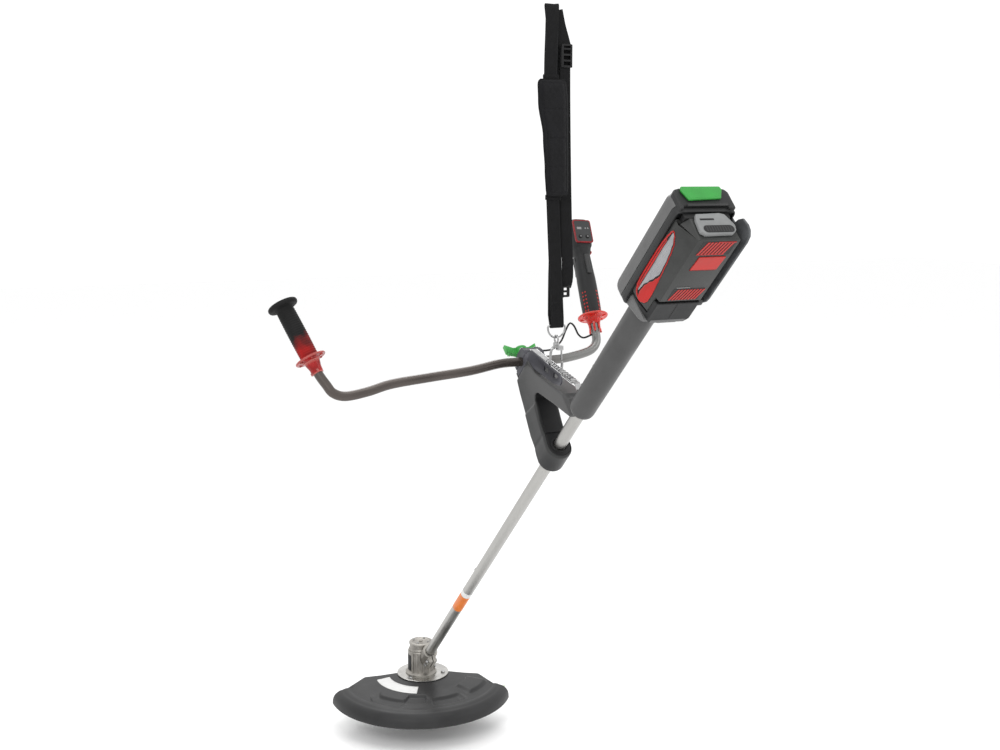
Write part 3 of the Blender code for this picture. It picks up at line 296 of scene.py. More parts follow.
SHAFT_LEAN = (-(math.pi / 2 - math.radians(44)), 0, 0)
SATIN = {"Specular_IOR_Level": 0.28}
DULL = {"Specular_IOR_Level": 0.16}
GREY = Surface(
    "grey_shell", (0.098, 0.098, 0.098), 0.46, **SATIN
).mottle(30, 0.10).edge_wear_and_highlight((0.28, 0.28, 0.28), 0.35).grain(1100, 0.22).done()
TUBE_GREY = Surface(
    "grey_tube", (0.058, 0.058, 0.058), 0.40, **SATIN
).mottle(20, 0.10).grain(1200, 0.18).done()
CHARCOAL = Surface(
    "charcoal_plastic", (0.0125, 0.0130, 0.0135), 0.48, **SATIN
).mottle(28, 0.14).edge_wear_and_highlight((0.10, 0.10, 0.10), 0.30).grain(1000, 0.28).done()
GUARD = Surface(
    "guard_plastic", (0.020, 0.020, 0.0205), 0.44, **SATIN
).mottle(14, 0.18).edge_wear_and_highlight((0.09, 0.09, 0.09), 0.25).grain(700, 0.22).done()
BLACK = Surface(
    "black_plastic", (0.0040, 0.0040, 0.0045), 0.50, **SATIN
).mottle(30, 0.2).edge_wear_and_highlight((0.04, 0.04, 0.04), 0.3).grain(1200, 0.25).done()
GLOSS_BLACK = Surface(
    "display_glass", (0.006, 0.007, 0.008), 0.16, Coat_Weight=0.5, Coat_Roughness=0.08
).mottle(40, 0.2).grain(2000, 0.03).done()
RUBBER = Surface(
    "grip_rubber", (0.0050, 0.0050, 0.0050), 0.72, **DULL
).mottle(40, 0.2).grain(1500, 0.5).done()
RED = Surface(
    "red_plastic", (0.42, 0.010, 0.008), 0.36, **SATIN
).mottle(25, 0.10).edge_wear_and_highlight((0.55, 0.09, 0.07), 0.3).grain(1200, 0.12).done()
# On the clear red, the pale pink that the edge method lays on the rims is a painted highlight.
RED_CLEAR = Surface(
    "red_clear", (0.80, 0.030, 0.020), 0.22, Transmission_Weight=0.45, IOR=1.35
).mottle(60, 0.08).edge_wear_and_highlight((1.0, 0.36, 0.30), 0.6).grain(900, 0.06).done()
GREEN = Surface(
    "green_plastic", (0.018, 0.240, 0.028), 0.38, **SATIN
).mottle(30, 0.10).edge_wear_and_highlight((0.13, 0.48, 0.15), 0.4).grain(1100, 0.18).done()
ALUMINIUM = Surface(
    "drawn_aluminium", (0.40, 0.395, 0.380), 0.36, 1.0
).mottle(9, 0.07).brushed(SHAFT_LEAN).done()
CAST = Surface(
    "cast_aluminium", (0.300, 0.285, 0.262), 0.44, 1.0
).mottle(60, 0.18).edge_wear_and_highlight((0.55, 0.54, 0.50), 0.5).grain(420, 0.30, 0.0008).done()
PLATE = Surface("bright_plate", (0.50, 0.49, 0.47), 0.28, 1.0).mottle(30, 0.10).grain(500, 0.08).done()
STEEL = Surface(
    "plated_steel", (0.36, 0.36, 0.36), 0.24, 1.0
).mottle(70, 0.12).edge_wear_and_highlight((0.6, 0.6, 0.6), 0.4).grain(800, 0.06).done()
DARK_STEEL = Surface(
    "dark_paint", (0.016, 0.016, 0.021), 0.46, 0.0, **DULL
).mottle(45, 0.12).edge_wear_and_highlight((0.16, 0.16, 0.18), 0.5).grain(900, 0.15).done()
BAR_PAINT_AND_HIGHLIGHT = Surface("bar_paint", (0.078, 0.066, 0.060), 0.28, 0.6).mottle(16, 0.10)
# From the middle of the bar to its right end the colour turns lighter grey: a painted highlight.
BAR_PAINT_AND_HIGHLIGHT = BAR_PAINT_AND_HIGHLIGHT.fade(
    BAR_PAINT_AND_HIGHLIGHT.along(ORIGIN, ACROSS), (0.19, 0.19, 0.185), 0.0, 0.09
).grain(1300, 0.10).done()
LEFT_FOOT = BAR @ Vector((-0.4670, 0, 0.0300))
LEFT_AIM = BAR.to_3x3() @ Vector((-0.0420, 0, 0.1250)).normalized()
GRIP_FADE = Surface("grip_rubber_red", (0.30, 0.008, 0.007), 0.60, **DULL).mottle(40, 0.25)
GRIP_FADE = GRIP_FADE.fade(
    GRIP_FADE.along(LEFT_FOOT, LEFT_AIM), (0.008, 0.008, 0.008), 0.002, 0.058, 0.018, 38
).grain(1500, 0.4).done()
RED_DARK = Surface("red_rubber", (0.15, 0.012, 0.011), 0.55, **DULL).mottle(90, 0.3).grain(1300, 0.3).done()
KNURLED = Surface("knurled_silver", (0.30, 0.30, 0.31), 0.34, 0.5).mottle(60, 0.10).knurled(95).done()
WEBBING = Surface("webbing", (0.0085, 0.0085, 0.0090), 0.82, **DULL).mottle(90, 0.25).woven(300, 160).done()
PAD_CLOTH = Surface(
    "pad_cloth", (0.0075, 0.0075, 0.0085), 0.88, Sheen_Weight=0.08, **DULL
).mottle(35, 0.25).woven(420, 420, 0.35).done()
STITCH = Surface("stitching", (0.030, 0.030, 0.032), 0.7, **DULL).mottle(200, 0.3).grain(3000, 0.4).done()
LINE = Surface("trimmer_line", (0.17, 0.30, 0.09), 0.35).mottle(80, 0.15).grain(900, 0.1).done()
CABLE = Surface(
    "cable_sheath", (0.0040, 0.0040, 0.0040), 0.40, **SATIN
).mottle(60, 0.2).grain(1500, 0.15).done()
WHITE = Surface("white_film", (0.62, 0.62, 0.61), 0.40).mottle(70, 0.04).grain(500, 0.05).done()
ORANGE = Surface("orange_film", (0.62, 0.16, 0.022), 0.40).mottle(70, 0.08).grain(500, 0.05).done()
SILVER_FILM = Surface("silver_film", (0.24, 0.24, 0.24), 0.30, 0.4).mottle(80, 0.08).grain(700, 0.08).done()
LATCH_GREY = Surface(
    "latch_grey", (0.190, 0.195, 0.195), 0.42, **SATIN
).mottle(40, 0.10).edge_wear_and_highlight((0.26, 0.26, 0.26), 0.4).grain(1200, 0.2).done()
BATTERY = Surface(
    "battery_plastic", (0.030, 0.031, 0.030), 0.42, **SATIN
).mottle(22, 0.25).edge_wear_and_highlight((0.10, 0.10, 0.10), 0.30).grain(900, 0.30).done()
# A lighter copy of the charcoal plastic for the wing and its ribs: painted light on a part that lies in the
# battery's shade.
WING_PAINTED_LIGHT = Surface(
    "wing_plastic_painted_light", (0.075, 0.078, 0.082), 0.50, **SATIN
).mottle(45, 0.25).edge_wear_and_highlight((0.16, 0.16, 0.16), 0.30).grain(700, 0.35).done()
MOULDING = Surface("rear_moulding", (0.058, 0.058, 0.058), 0.40, **SATIN).mottle(20, 0.10)
MOULDING = MOULDING.fade(
    MOULDING.along(SHAFT @ Vector((0, 0.05, 1.125)), -(SHAFT.to_3x3() @ UP)), (0.016, 0.0165, 0.017), 0.0,
    0.085
).grain(1200, 0.18).done()
# A darker copy of the clear red for the left flange and hub: painted shade, with a painted highlight in
# pale pink along the rims.
RED_CLEAR_SHADED = Surface(
    "red_clear_shaded", (0.36, 0.012, 0.012), 0.22, Transmission_Weight=0.30, IOR=1.35
).mottle(60, 0.25).edge_wear_and_highlight((0.95, 0.42, 0.36), 0.6).grain(900, 0.06).done()
RED_DEEP = Surface(
    "deep_red", (0.20, 0.007, 0.011), 0.38, **SATIN
).mottle(40, 0.12).edge_wear_and_highlight((0.42, 0.06, 0.06), 0.4).grain(1200, 0.12).done()
COPPER = Surface("copper_winding", (0.68, 0.30, 0.14), 0.35, 1.0).mottle(90, 0.15).grain(900, 0.3).done()

CAD_LOOKS = {
    CAST: ["gear_case", "gear_case_cap"], PLATE: ["guard_plate"],
    STEEL: [
        "grease_screw", "clamp_bolt_lower", "clamp_bolt_upper", "drive_pinion", "crown_gear",
        "drive_shaft", "output_spindle", "spindle_bearing_lower", "spindle_bearing_upper",
        "pinion_bearing", "guard_bolt_left", "guard_bolt_right", "line_cutter", "bump_spring",
        "hang_rail", "motor_rotor", "d_ring", "hook_body", "hook_gate"
    ],
    BLACK: [
        "shaft_bush", "head_housing", "bump_knob", "controller", "terminal_block", "display_button_1",
        "display_button_2", "strap_adjuster", "yoke_core"
    ],
    ALUMINIUM: ["shaft_tube"], TUBE_GREY: ["rear_tube"], GREY: ["line_spool", "yoke_left", "yoke_right"],
    LATCH_GREY: ["battery_latch"], DARK_STEEL: ["clamp_base", "clamp_cap", "hang_plate"],
    GREEN: ["clamp_knob", "release_button"], COPPER: ["motor_stator"], RED: ["right_bezel"],
    RED_CLEAR: ["left_flange", "right_flange"],
    CHARCOAL: [
        "lock_off", "trigger", "guard", "housing_tray", "battery_case", "right_grip", "housing_shell"
    ],
    RUBBER: ["left_grip"], WEBBING: ["strap_loop", "shoulder_pad"],
    LINE: ["trimmer_line_left", "trimmer_line_right"], CABLE: ["control_cable"], BAR_PAINT_AND_HIGHLIGHT: ["handlebar"],
}
SOFT_EDGES = {
    "gear_case": 0.0012, "gear_case_cap": 0.0008, "yoke_core": 0.0020, "clamp_base": 0.0010,
    "clamp_cap": 0.0006, "hang_plate": 0.0006, "hang_rail": 0.0004, "rear_tube": 0.0012,
    "clamp_knob": 0.0012, "head_housing": 0.0010, "battery_latch": 0.0005, "trigger": 0.0006,
    "lock_off": 0.0005, "right_bezel": 0.0006, "hook_body": 0.0004, "guard_plate": 0.0004,
    "release_button": 0.0005,
}


def dress_cad():
    """Gives the CAD nodes their materials and their soft edges."""
    for surface, nodes in CAD_LOOKS.items():
        for name in nodes:
            node = frame["nodes"][name]
            node.data.materials.clear()
            node.data.materials.append(surface)
    for name, width in SOFT_EDGES.items():
        soften(frame["nodes"][name], width)


# ---- mesh tools ----
def soften(obj, width, segments=2, angle=30):
    """Rounds an object's sharp edges with a bevel modifier."""
    edge = obj.modifiers.new("soft_edges", "BEVEL")
    edge.width = width
    edge.segments = segments
    edge.limit_method = "ANGLE"
    edge.angle_limit = math.radians(angle)
    edge.harden_normals = False
    return obj


def piece(
    name, shape, body, surface, place=WORLD, bevel=0.0, subdivide=0, sharp=35, replaces=()
):
    """Makes a bmesh drawn in one of the working frames into a piece that rides on a body."""
    bmesh.ops.transform(shape, matrix=place, verts=shape.verts)
    bmesh.ops.recalc_face_normals(shape, faces=shape.faces)
    mesh = bpy.data.meshes.new(name)
    shape.to_mesh(mesh)
    shape.free()
    mesh.materials.append(surface)
    mesh.shade_smooth()
    mesh.set_sharp_from_angle(angle=math.radians(sharp))
    obj = bpy.data.objects.new(name, mesh)
    bpy.context.scene.collection.objects.link(obj)
    if bevel:
        soften(obj, bevel)
    if subdivide:
        smoother = obj.modifiers.new("smooth", "SUBSURF")
        smoother.levels = subdivide
        smoother.render_levels = subdivide
    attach(obj, body)
    if replaces:
        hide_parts(*replaces)
    return obj


def ring(shape, points):
    """One vertex for each point."""
    return [shape.verts.new(point) for point in points]


def bridge(shape, lower, upper):
    """Joins two loops with faces. A loop of one vertex closes to a point."""
    sides = max(len(lower), len(upper))
    for step in range(sides):
        after = (step + 1) % sides
        if len(lower) == 1:
            shape.faces.new((lower[0], upper[after], upper[step]))
        elif len(upper) == 1:
            shape.faces.new((lower[step], lower[after], upper[0]))
        else:
            shape.faces.new((lower[step], lower[after], upper[after], upper[step]))


def turned(profile, sides=48):
    """A turned shape about Z: solid if its profile starts and ends at radius 0, and otherwise a ring."""
    shape = bmesh.new()
    rings = []
    for radius, height in profile:
        if radius == 0:
            rings.append(ring(shape, [(0, 0, height)]))
            continue
        turns = [2 * math.pi * step / sides for step in range(sides)]
        rings.append(
            ring(shape, [(radius * math.cos(turn), radius * math.sin(turn), height) for turn in turns])
        )
    for lower, upper in zip(rings, rings[1:]):
        bridge(shape, lower, upper)
    if profile[0][0] != 0:
        bridge(shape, rings[-1], rings[0])
    return shape


def block(low, high):
    """A box between two corners."""
    shape = bmesh.new()
    low, high = Vector(low), Vector(high)
    bmesh.ops.create_cube(
        shape, size=1, matrix=Matrix.Translation((low + high) / 2) @ Matrix.Diagonal((*(high - low), 1))
    )
    return shape


def rounded_block(low, high, edge, segments=3):
    """A box between two corners, with rounded edges."""
    shape = block(low, high)
    bmesh.ops.bevel(shape, geom=shape.edges[:], offset=edge, segments=segments, affect="EDGES", profile=0.5)
    return shape


def prism(outline, low, high, spread):
    """An outline spread between two levels, in the view that spread gives."""
    shape = bmesh.new()
    near = ring(shape, [spread(a, b, low) for a, b in outline])
    far = ring(shape, [spread(a, b, high) for a, b in outline])
    shape.faces.new(near)
    shape.faces.new(list(reversed(far)))
    bridge(shape, near, far)
    return shape


def side_view(along, above, across):
    """An outline in (along, above), spread across."""
    return (across, above, along)


def rear_view(across, above, along):
    """An outline in (across, above), spread along."""
    return (across, above, along)


def plan_view(across, along, above):
    """An outline in (across, along), spread above."""
    return (across, above, along)


def aimed(shape, direction, place=ORIGIN):
    """Turns a shape's Z to a direction and moves its origin to a place."""
    turn = UP.rotation_difference(Vector(direction)).to_matrix()
    bmesh.ops.rotate(shape, matrix=turn, verts=shape.verts)
    bmesh.ops.translate(shape, vec=Vector(place), verts=shape.verts)
    return shape


def joined(*shapes):
    """Puts several closed shapes into one mesh."""
    whole = bmesh.new()
    for shape in shapes:
        holder = bpy.data.meshes.new("part")
        shape.to_mesh(holder)
        shape.free()
        whole.from_mesh(holder)
        bpy.data.meshes.remove(holder)
    return whole


def smooth_path(points, spacing):
    """Points at an even spacing along a smooth curve through the given points."""
    points = [Vector(p) for p in points]
    padded = [2 * points[0] - points[1]] + points + [2 * points[-1] - points[-2]]
    fine = []
    for before, here, there, after in zip(padded, padded[1:], padded[2:], padded[3:]):
        for step in range(24):
            t = step / 24
            pull = (there - before) * 0.5
            push = (after - here) * 0.5
            fine.append(
                (2 * t**3 - 3 * t**2 + 1) * here + (t**3 - 2 * t**2 + t) * pull
                + (3 * t**2 - 2 * t**3) * there + (t**3 - t**2) * push
            )
    fine.append(points[-1])
    travelled = [0.0]
    for here, there in zip(fine, fine[1:]):
        travelled.append(travelled[-1] + (there - here).length)
    count = max(2, round(travelled[-1] / spacing))
    even = []
    index = 0
    for step in range(count + 1):
        goal = travelled[-1] * step / count
        while index < len(fine) - 2 and travelled[index + 1] < goal:
            index += 1
        share = (goal - travelled[index]) / (travelled[index + 1] - travelled[index])
        even.append(fine[index].lerp(fine[index + 1], min(1, max(0, share))))
    return even


def swept(path, section_at, side=None, closed=False):
    """Sweeps a section along a path. section_at gives the (side, up) pairs for a share of the way along."""
    shape = bmesh.new()
    frames = []
    last = len(path) - 1
    held = side
    for step, point in enumerate(path):
        before = path[step - 1] if step or closed else path[step]
        after = path[(step + 1) % len(path)] if step < last or closed else path[step]
        ahead = (after - before).normalized()
        if side is None:
            side = ahead.cross(FORWARD).normalized()
        lateral = held if held is not None else side
        side = (lateral - ahead * lateral.dot(ahead)).normalized()
        up = side.cross(ahead)
        frames.append(ring(shape, [point + side * a + up * b for a, b in section_at(step / last)]))
    for here, there in zip(frames, frames[1:]):
        bridge(shape, here, there)
    if closed:
        bridge(shape, frames[-1], frames[0])
    else:
        shape.faces.new(frames[0])
        shape.faces.new(list(reversed(frames[-1])))
    return shape


def oval(wide, deep, square=2.0, sides=32, shift=(0, 0)):
    """A rounded section: an ellipse at square 2, nearer to a rectangle above that."""
    points = []
    for step in range(sides):
        turn = 2 * math.pi * step / sides
        c, s = math.cos(turn), math.sin(turn)
        x = math.copysign(abs(c) ** (2 / square), c) * wide
        y = math.copysign(abs(s) ** (2 / square), s) * deep
        points.append((x + shift[0], y + shift[1]))
    return points


def between(table, value):
    """Reads a smooth value from a table of (place, value, ...) rows."""
    if value <= table[0][0]:
        return table[0][1:]
    for here, there in zip(table, table[1:]):
        if value <= there[0]:
            t = (value - here[0]) / (there[0] - here[0])
            t = t * t * (3 - 2 * t)
            return tuple(a + (b - a) * t for a, b in zip(here[1:], there[1:]))
    return table[-1][1:]


def ease(value, low, high):
    """Rises smoothly from 0 to 1 between low and high."""
    t = min(1.0, max(0.0, (value - low) / (high - low)))
    return t * t * (3 - 2 * t)


# ---- guard ----
GUARD_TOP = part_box("guard")[1].z - HEAD_CENTRE.z
GUARD_DROP = 0.0500
GUARD_SKIN = 0.0030
GUARD_PROFILE = [
    (0.0450, 0.0), (0.0700, -0.0002), (0.1100, -0.0060), (0.1500, -0.0100), (0.1850, -0.0135),
    (0.2080, -0.0160), (0.2200, -0.0185), (0.2290, -0.0240), (0.2345, -0.0310), (0.2375, -0.0400),
    (0.2380, -0.0500),
]
GROOVE_EDGE = [
    (-112, 0.150), (-70, 0.178), (-62, 0.190), (-39, 0.190), (-36, 0.163), (-19, 0.163), (-14, 0.181),
    (18, 0.181), (22, 0.150), (72, 0.150)
]


def guard_turns(radius):
    """The angles of the guard's two ends at a radius."""
    outward = min(1, max(0, (radius - 0.150) / 0.035))
    return -112 + 17 * outward, 72 - 18 * outward


def guard_height(radius, degrees):
    """The guard's top surface: the turned profile, a stepped groove and a raised wedge."""
    height = 0.0
    for here, there in zip(GUARD_PROFILE, GUARD_PROFILE[1:]):
        if radius <= there[0]:
            height = here[1] + (there[1] - here[1]) * (radius - here[0]) / (there[0] - here[0])
            break
    else:
        height = GUARD_PROFILE[-1][1]
    edge = GROOVE_EDGE[-1][1]
    for here, there in zip(GROOVE_EDGE, GROOVE_EDGE[1:]):
        if degrees <= there[0]:
            edge = here[1] + (there[1] - here[1]) * ease(degrees, here[0], there[0])
            break
    inside = 1 - ease(radius, edge - 0.004, edge + 0.004)
    groove = ease(radius, edge - 0.036, edge - 0.026) * inside * ease(radius, 0.10, 0.12)
    sides = ease(degrees, -72, -62) * (1 - ease(degrees, 12, 19)) * (
        1 - 0.85 * ease(degrees, -19.5, -18) * (1 - ease(degrees, -13.5, -12))
    )
    height -= 0.0052 * groove * sides
    wedge = ease(radius, 0.116, 0.122) * (
        1 - ease(radius, 0.163 + 0.0002 * (degrees - 20), 0.171 + 0.0002 * (degrees - 20))
    )
    wedge *= ease(degrees, 22, 30) * (1 - ease(degrees, 54, 58))
    height += 0.0062 * wedge
    lip = ease(radius, 0.196, 0.201) * (1 - ease(radius, 0.206, 0.212))
    height += 0.0010 * lip
    return height


def guard_point(radius, share, height, lift=0.0):
    """A point on the guard, at a radius and a share of the way round."""
    left, right = guard_turns(radius)
    degrees = left + (right - left) * share
    turn = math.radians(degrees)
    reach = radius * (1 - 0.028 * math.sin(turn) * min(1, max(0, (radius - 0.07) / 0.10)))
    return Vector((reach * math.sin(turn), -reach * math.cos(turn), GUARD_TOP + height + lift))


def guard():
    """The guard's shell, from its hub to its rim."""
    steps = 200
    radii = [0.0450 + 0.1630 * k / 64 for k in range(65)] + [
        0.2120, 0.2160, 0.2200, 0.2240, 0.2270, 0.2300, 0.2325, 0.2345, 0.2360, 0.2372, 0.2378
    ]
    shape = bmesh.new()
    rows = []
    for step in range(steps + 1):
        share = step / steps
        column = []
        for radius in radii:
            left, right = guard_turns(radius)
            column.append(guard_point(radius, share, guard_height(radius, left + (right - left) * share)))
        column.append(guard_point(0.2380, share, -GUARD_DROP))
        column.append(guard_point(0.2380 - GUARD_SKIN, share, -GUARD_DROP))
        for radius in reversed(radii):
            left, right = guard_turns(radius)
            inner = max(0.0450, radius - GUARD_SKIN) if radius > 0.21 else radius
            column.append(
                guard_point(
                    inner, share, guard_height(radius, left + (right - left) * share) - GUARD_SKIN
                )
            )
        rows.append([shape.verts.new(point) for point in column])
    for here, there in zip(rows, rows[1:]):
        bridge(shape, here, there)
    shape.faces.new(rows[0])
    shape.faces.new(list(reversed(rows[-1])))
    piece("guard_shell", shape, "cutter", GUARD, HEAD, sharp=50, replaces=["guard"])


def guard_label():
    """A blank film that follows the guard's curve."""
    shape = bmesh.new()
    rows = []
    for step in range(41):
        degrees = -99 + 70 * step / 40
        row = []
        for part in range(9):
            radius = 0.0890 + 0.0330 * part / 8
            turn = math.radians(degrees)
            height = GUARD_TOP + guard_height(radius, degrees) + 0.0004
            reach = radius * (1 - 0.028 * math.sin(turn) * min(1, max(0, (radius - 0.07) / 0.10)))
            row.append(shape.verts.new((reach * math.sin(turn), -reach * math.cos(turn), height)))
        rows.append(row)
    for here, there in zip(rows, rows[1:]):
        for part in range(8):
            shape.faces.new((here[part], here[part + 1], there[part + 1], there[part]))
    label = piece("guard_label", shape, "cutter", WHITE, HEAD)
    thick = label.modifiers.new("film", "SOLIDIFY")
    thick.thickness = 0.0003
    thick.offset = 1


# ---- gear case ----
GEAR_CASE_MIDDLE = Vector((-0.0040, 0.0020, 0))


def gear_case_body():
    """The upright cast body round the gears, with its ribs and its dark recessed side."""
    middle = GEAR_CASE_MIDDLE
    body = turned(
        [
            (0.0200, -0.0222), (0.0410, -0.0222), (0.0410, -0.0196), (0.0372, -0.0172), (0.0345, -0.0150),
            (0.0345, 0.0385), (0.0334, 0.0402), (0.0200, 0.0402)
        ],
        72
    )
    shapes = [body]
    for degrees in (-178, -150, -60, -38, -12, 14, 60, 100, 140):
        turn = math.radians(degrees)
        rib = rounded_block((-0.0014, -0.0366, -0.0200), (0.0014, -0.0335, 0.0360), 0.0006, 2)
        bmesh.ops.rotate(rib, matrix=Matrix.Rotation(turn, 3, "Z"), verts=rib.verts)
        shapes.append(rib)
    whole = joined(*shapes)
    bmesh.ops.translate(whole, vec=middle, verts=whole.verts)
    piece("gear_case_body", whole, "cutter", CAST, HEAD, sharp=30)
    turns = [math.radians(degrees) for degrees in range(-112, -66, 6)]
    outer = [(0.0349 * math.sin(turn) + middle.x, -0.0349 * math.cos(turn) + middle.y) for turn in turns]
    inner = [
        (0.0330 * math.sin(turn) + middle.x, -0.0330 * math.cos(turn) + middle.y)
        for turn in reversed(turns)
    ]
    panel = prism(outer + inner, -0.0130, 0.0300, lambda x, y, z: (x, y, z))
    piece("gear_case_panel", panel, "cutter", BLACK, HEAD, bevel=0.0004)


def gear_case_lid():
    """The lid of the gear case, with a boss at its centre and four screws."""
    middle = GEAR_CASE_MIDDLE
    cap = turned(
        [
            (0, 0.0380), (0.0318, 0.0380), (0.0320, 0.0440), (0.0306, 0.0458), (0.0298, 0.0470),
            (0.0298, 0.0560), (0.0312, 0.0572), (0.0312, 0.0606), (0.0300, 0.0620), (0.0250, 0.0626),
            (0.0232, 0.0618), (0, 0.0618),
        ],
        72
    )
    bmesh.ops.translate(cap, vec=middle, verts=cap.verts)
    piece("gear_case_top", cap, "cutter", CAST, HEAD, sharp=25, replaces=["gear_case_cap"])
    boss = turned([(0, 0.0610), (0.0052, 0.0610), (0.0052, 0.0634), (0.0044, 0.0642), (0, 0.0642)], 6)
    bmesh.ops.translate(boss, vec=middle, verts=boss.verts)
    piece("gear_case_boss", boss, "cutter", CAST, HEAD, bevel=0.0003)
    heads = []
    for degrees in (45, 135, 225, 315):
        turn = math.radians(degrees)
        screw = turned(
            [
                (0, 0.0600), (0.0030, 0.0600), (0.0030, 0.0638), (0.0024, 0.0644), (0.0013, 0.0644),
                (0.0013, 0.0628), (0, 0.0628)
            ],
            20
        )
        bmesh.ops.translate(
            screw, vec=(0.0205 * math.cos(turn) + middle.x, 0.0205 * math.sin(turn) + middle.y, 0),
            verts=screw.verts
        )
        heads.append(screw)
    piece("gear_case_screws", aimed(joined(*heads), UP), "cutter", STEEL, HEAD)


def clamp_nuts():
    """The nuts on the bolts that pinch the gear case onto the shaft."""
    nuts = []
    for along in (0.048, 0.067):
        nut = turned(
            [
                (0.0020, 0), (0.0044, 0), (0.0046, 0.0006), (0.0046, 0.0030), (0.0042, 0.0034),
                (0.0020, 0.0034)
            ],
            6
        )
        nuts.append(aimed(nut, ACROSS, (0.0106, -0.0235, along)))
    piece("clamp_nuts", joined(*nuts), "cutter", STEEL, SHAFT, bevel=0.0002)


# ---- shaft ----
TUBE_RADIUS = 0.0130


def sleeve(start, end, radius, thick, spread=math.pi, middle=0.0, sides=36):
    """A film wrapped round the shaft, spread to each side of a direction."""
    shape = bmesh.new()
    rows = []
    for step in range(sides + 1):
        turn = middle - spread + 2 * spread * step / sides
        across, above = math.sin(turn), math.cos(turn)
        rows.append(
            [
                shape.verts.new((across * r, above * r, s))
                for r, s in (
                    (radius, start), (radius + thick, start), (radius + thick, end), (radius, end)
                )
            ]
        )
    for here, there in zip(rows, rows[1:]):
        bridge(shape, here, there)
    shape.faces.new(rows[0])
    shape.faces.new(list(reversed(rows[-1])))
    return shape


def shaft_details():
    """Films and fittings on the shaft."""
    facing = math.radians(-115)
    piece(
        "shaft_label", sleeve(0.3360, 0.4060, TUBE_RADIUS + 0.0001, 0.0002, 1.75, facing), "cutter",
        ORANGE, SHAFT
    )
    piece(
        "shaft_label_band", sleeve(0.4066, 0.4260, TUBE_RADIUS + 0.0001, 0.0002, 1.75, facing), "cutter",
        WHITE, SHAFT
    )
    stud = turned([(0, 0), (0.0052, 0), (0.0052, 0.0022), (0.0040, 0.0040), (0, 0.0044)], 24)
    piece(
        "shaft_stud", aimed(stud, FORWARD, (0, TUBE_RADIUS - 0.0004, 0.5050)), "cutter", BLACK, SHAFT,
    )
    seams = [sleeve(s, s + 0.0010, TUBE_RADIUS + 0.0001, 0.0003) for s in (0.0800, 1.0040)]
    piece("shaft_seals", joined(*seams), "cutter", BLACK, SHAFT)


# ---- handlebar and grips ----
BAR_RADIUS = 0.0095
LEFT_BASE = Vector((-0.4670, 0, 0.0300))
LEFT_AXIS = Vector((-0.0420, 0, 0.1250)).normalized()
LEFT_LENGTH = 0.1300
RIGHT_BASE = Vector((0.1700, 0, 0.0860))
RIGHT_AXIS = Vector((0.0100, 0, 0.1740)).normalized()
BAR_MIDDLE = [
    (-0.446, -0.0205), (-0.435, -0.0380), (-0.411, -0.0460), (-0.365, -0.0400), (-0.313, -0.0280),
    (-0.231, -0.0200), (-0.141, -0.0120), (-0.075, -0.0015), (-0.035, 0.0), (0.0, 0.0), (0.035, 0.0),
    (0.075, 0.0010), (0.124, 0.0090), (0.150, 0.0180), (0.1645, 0.0340),
]


def on_grip(shape, base, axis):
    """Places a shape drawn about Z on a grip's own axis."""
    return aimed(shape, axis, base)


def handlebar():
    """The bent tube, with knurled bands where the clamp holds it."""
    route = [LEFT_BASE + LEFT_AXIS * reach for reach in (0.085, 0.060, 0.035, 0.010, -0.012, -0.030)]
    route += [Vector((across, 0, rise)) for across, rise in BAR_MIDDLE]
    route += [RIGHT_BASE + RIGHT_AXIS * reach for reach in (-0.030, -0.012, 0.010, 0.035, 0.065)]
    tube = swept(smooth_path(route, 0.0045), lambda share: oval(BAR_RADIUS, BAR_RADIUS, sides=28), FORWARD)
    piece("handlebar_tube", tube, "handlebar", BAR_PAINT_AND_HIGHLIGHT, BAR, replaces=["handlebar"])
    knurls = []
    for step in range(9):
        across = -0.0200 + 0.0050 * step
        band = turned(
            [
                (BAR_RADIUS, 0), (BAR_RADIUS + 0.0004, 0.0004), (BAR_RADIUS + 0.0004, 0.0016),
                (BAR_RADIUS, 0.0020)
            ],
            32
        )
        knurls.append(aimed(band, ACROSS, (across, 0, 0)))
    piece("handlebar_knurls", joined(*knurls), "handlebar", BAR_PAINT_AND_HIGHLIGHT, BAR)


def disc_flange(name, base, axis, radius, body, look):
    """A dished red flange with a rounded rim and six shallow ribs on its underside."""
    profile = [
        (0.0100, 0.0004), (0.0170, 0.0000), (0.0200, 0.0022), (radius - 0.0060, 0.0034),
        (radius - 0.0016, 0.0030), (radius - 0.0002, 0.0042), (radius, 0.0058), (radius - 0.0010, 0.0072),
        (radius - 0.0030, 0.0076), (radius - 0.0070, 0.0062), (0.0200, 0.0066), (0.0186, 0.0079),
        (0.0100, 0.0079),
    ]
    ribs = []
    for step in range(6):
        rib = rounded_block((0.0175, -0.0009, 0.0012), (radius - 0.0040, 0.0009, 0.0036), 0.0004, 2)
        bmesh.ops.rotate(rib, matrix=Matrix.Rotation(math.pi * step / 3 + 0.3, 3, "Z"), verts=rib.verts)
        ribs.append(rib)
    dish = on_grip(joined(turned(profile, 64), *ribs), base, axis)
    piece(name + "_dish", dish, body, look, BAR, replaces=[name])


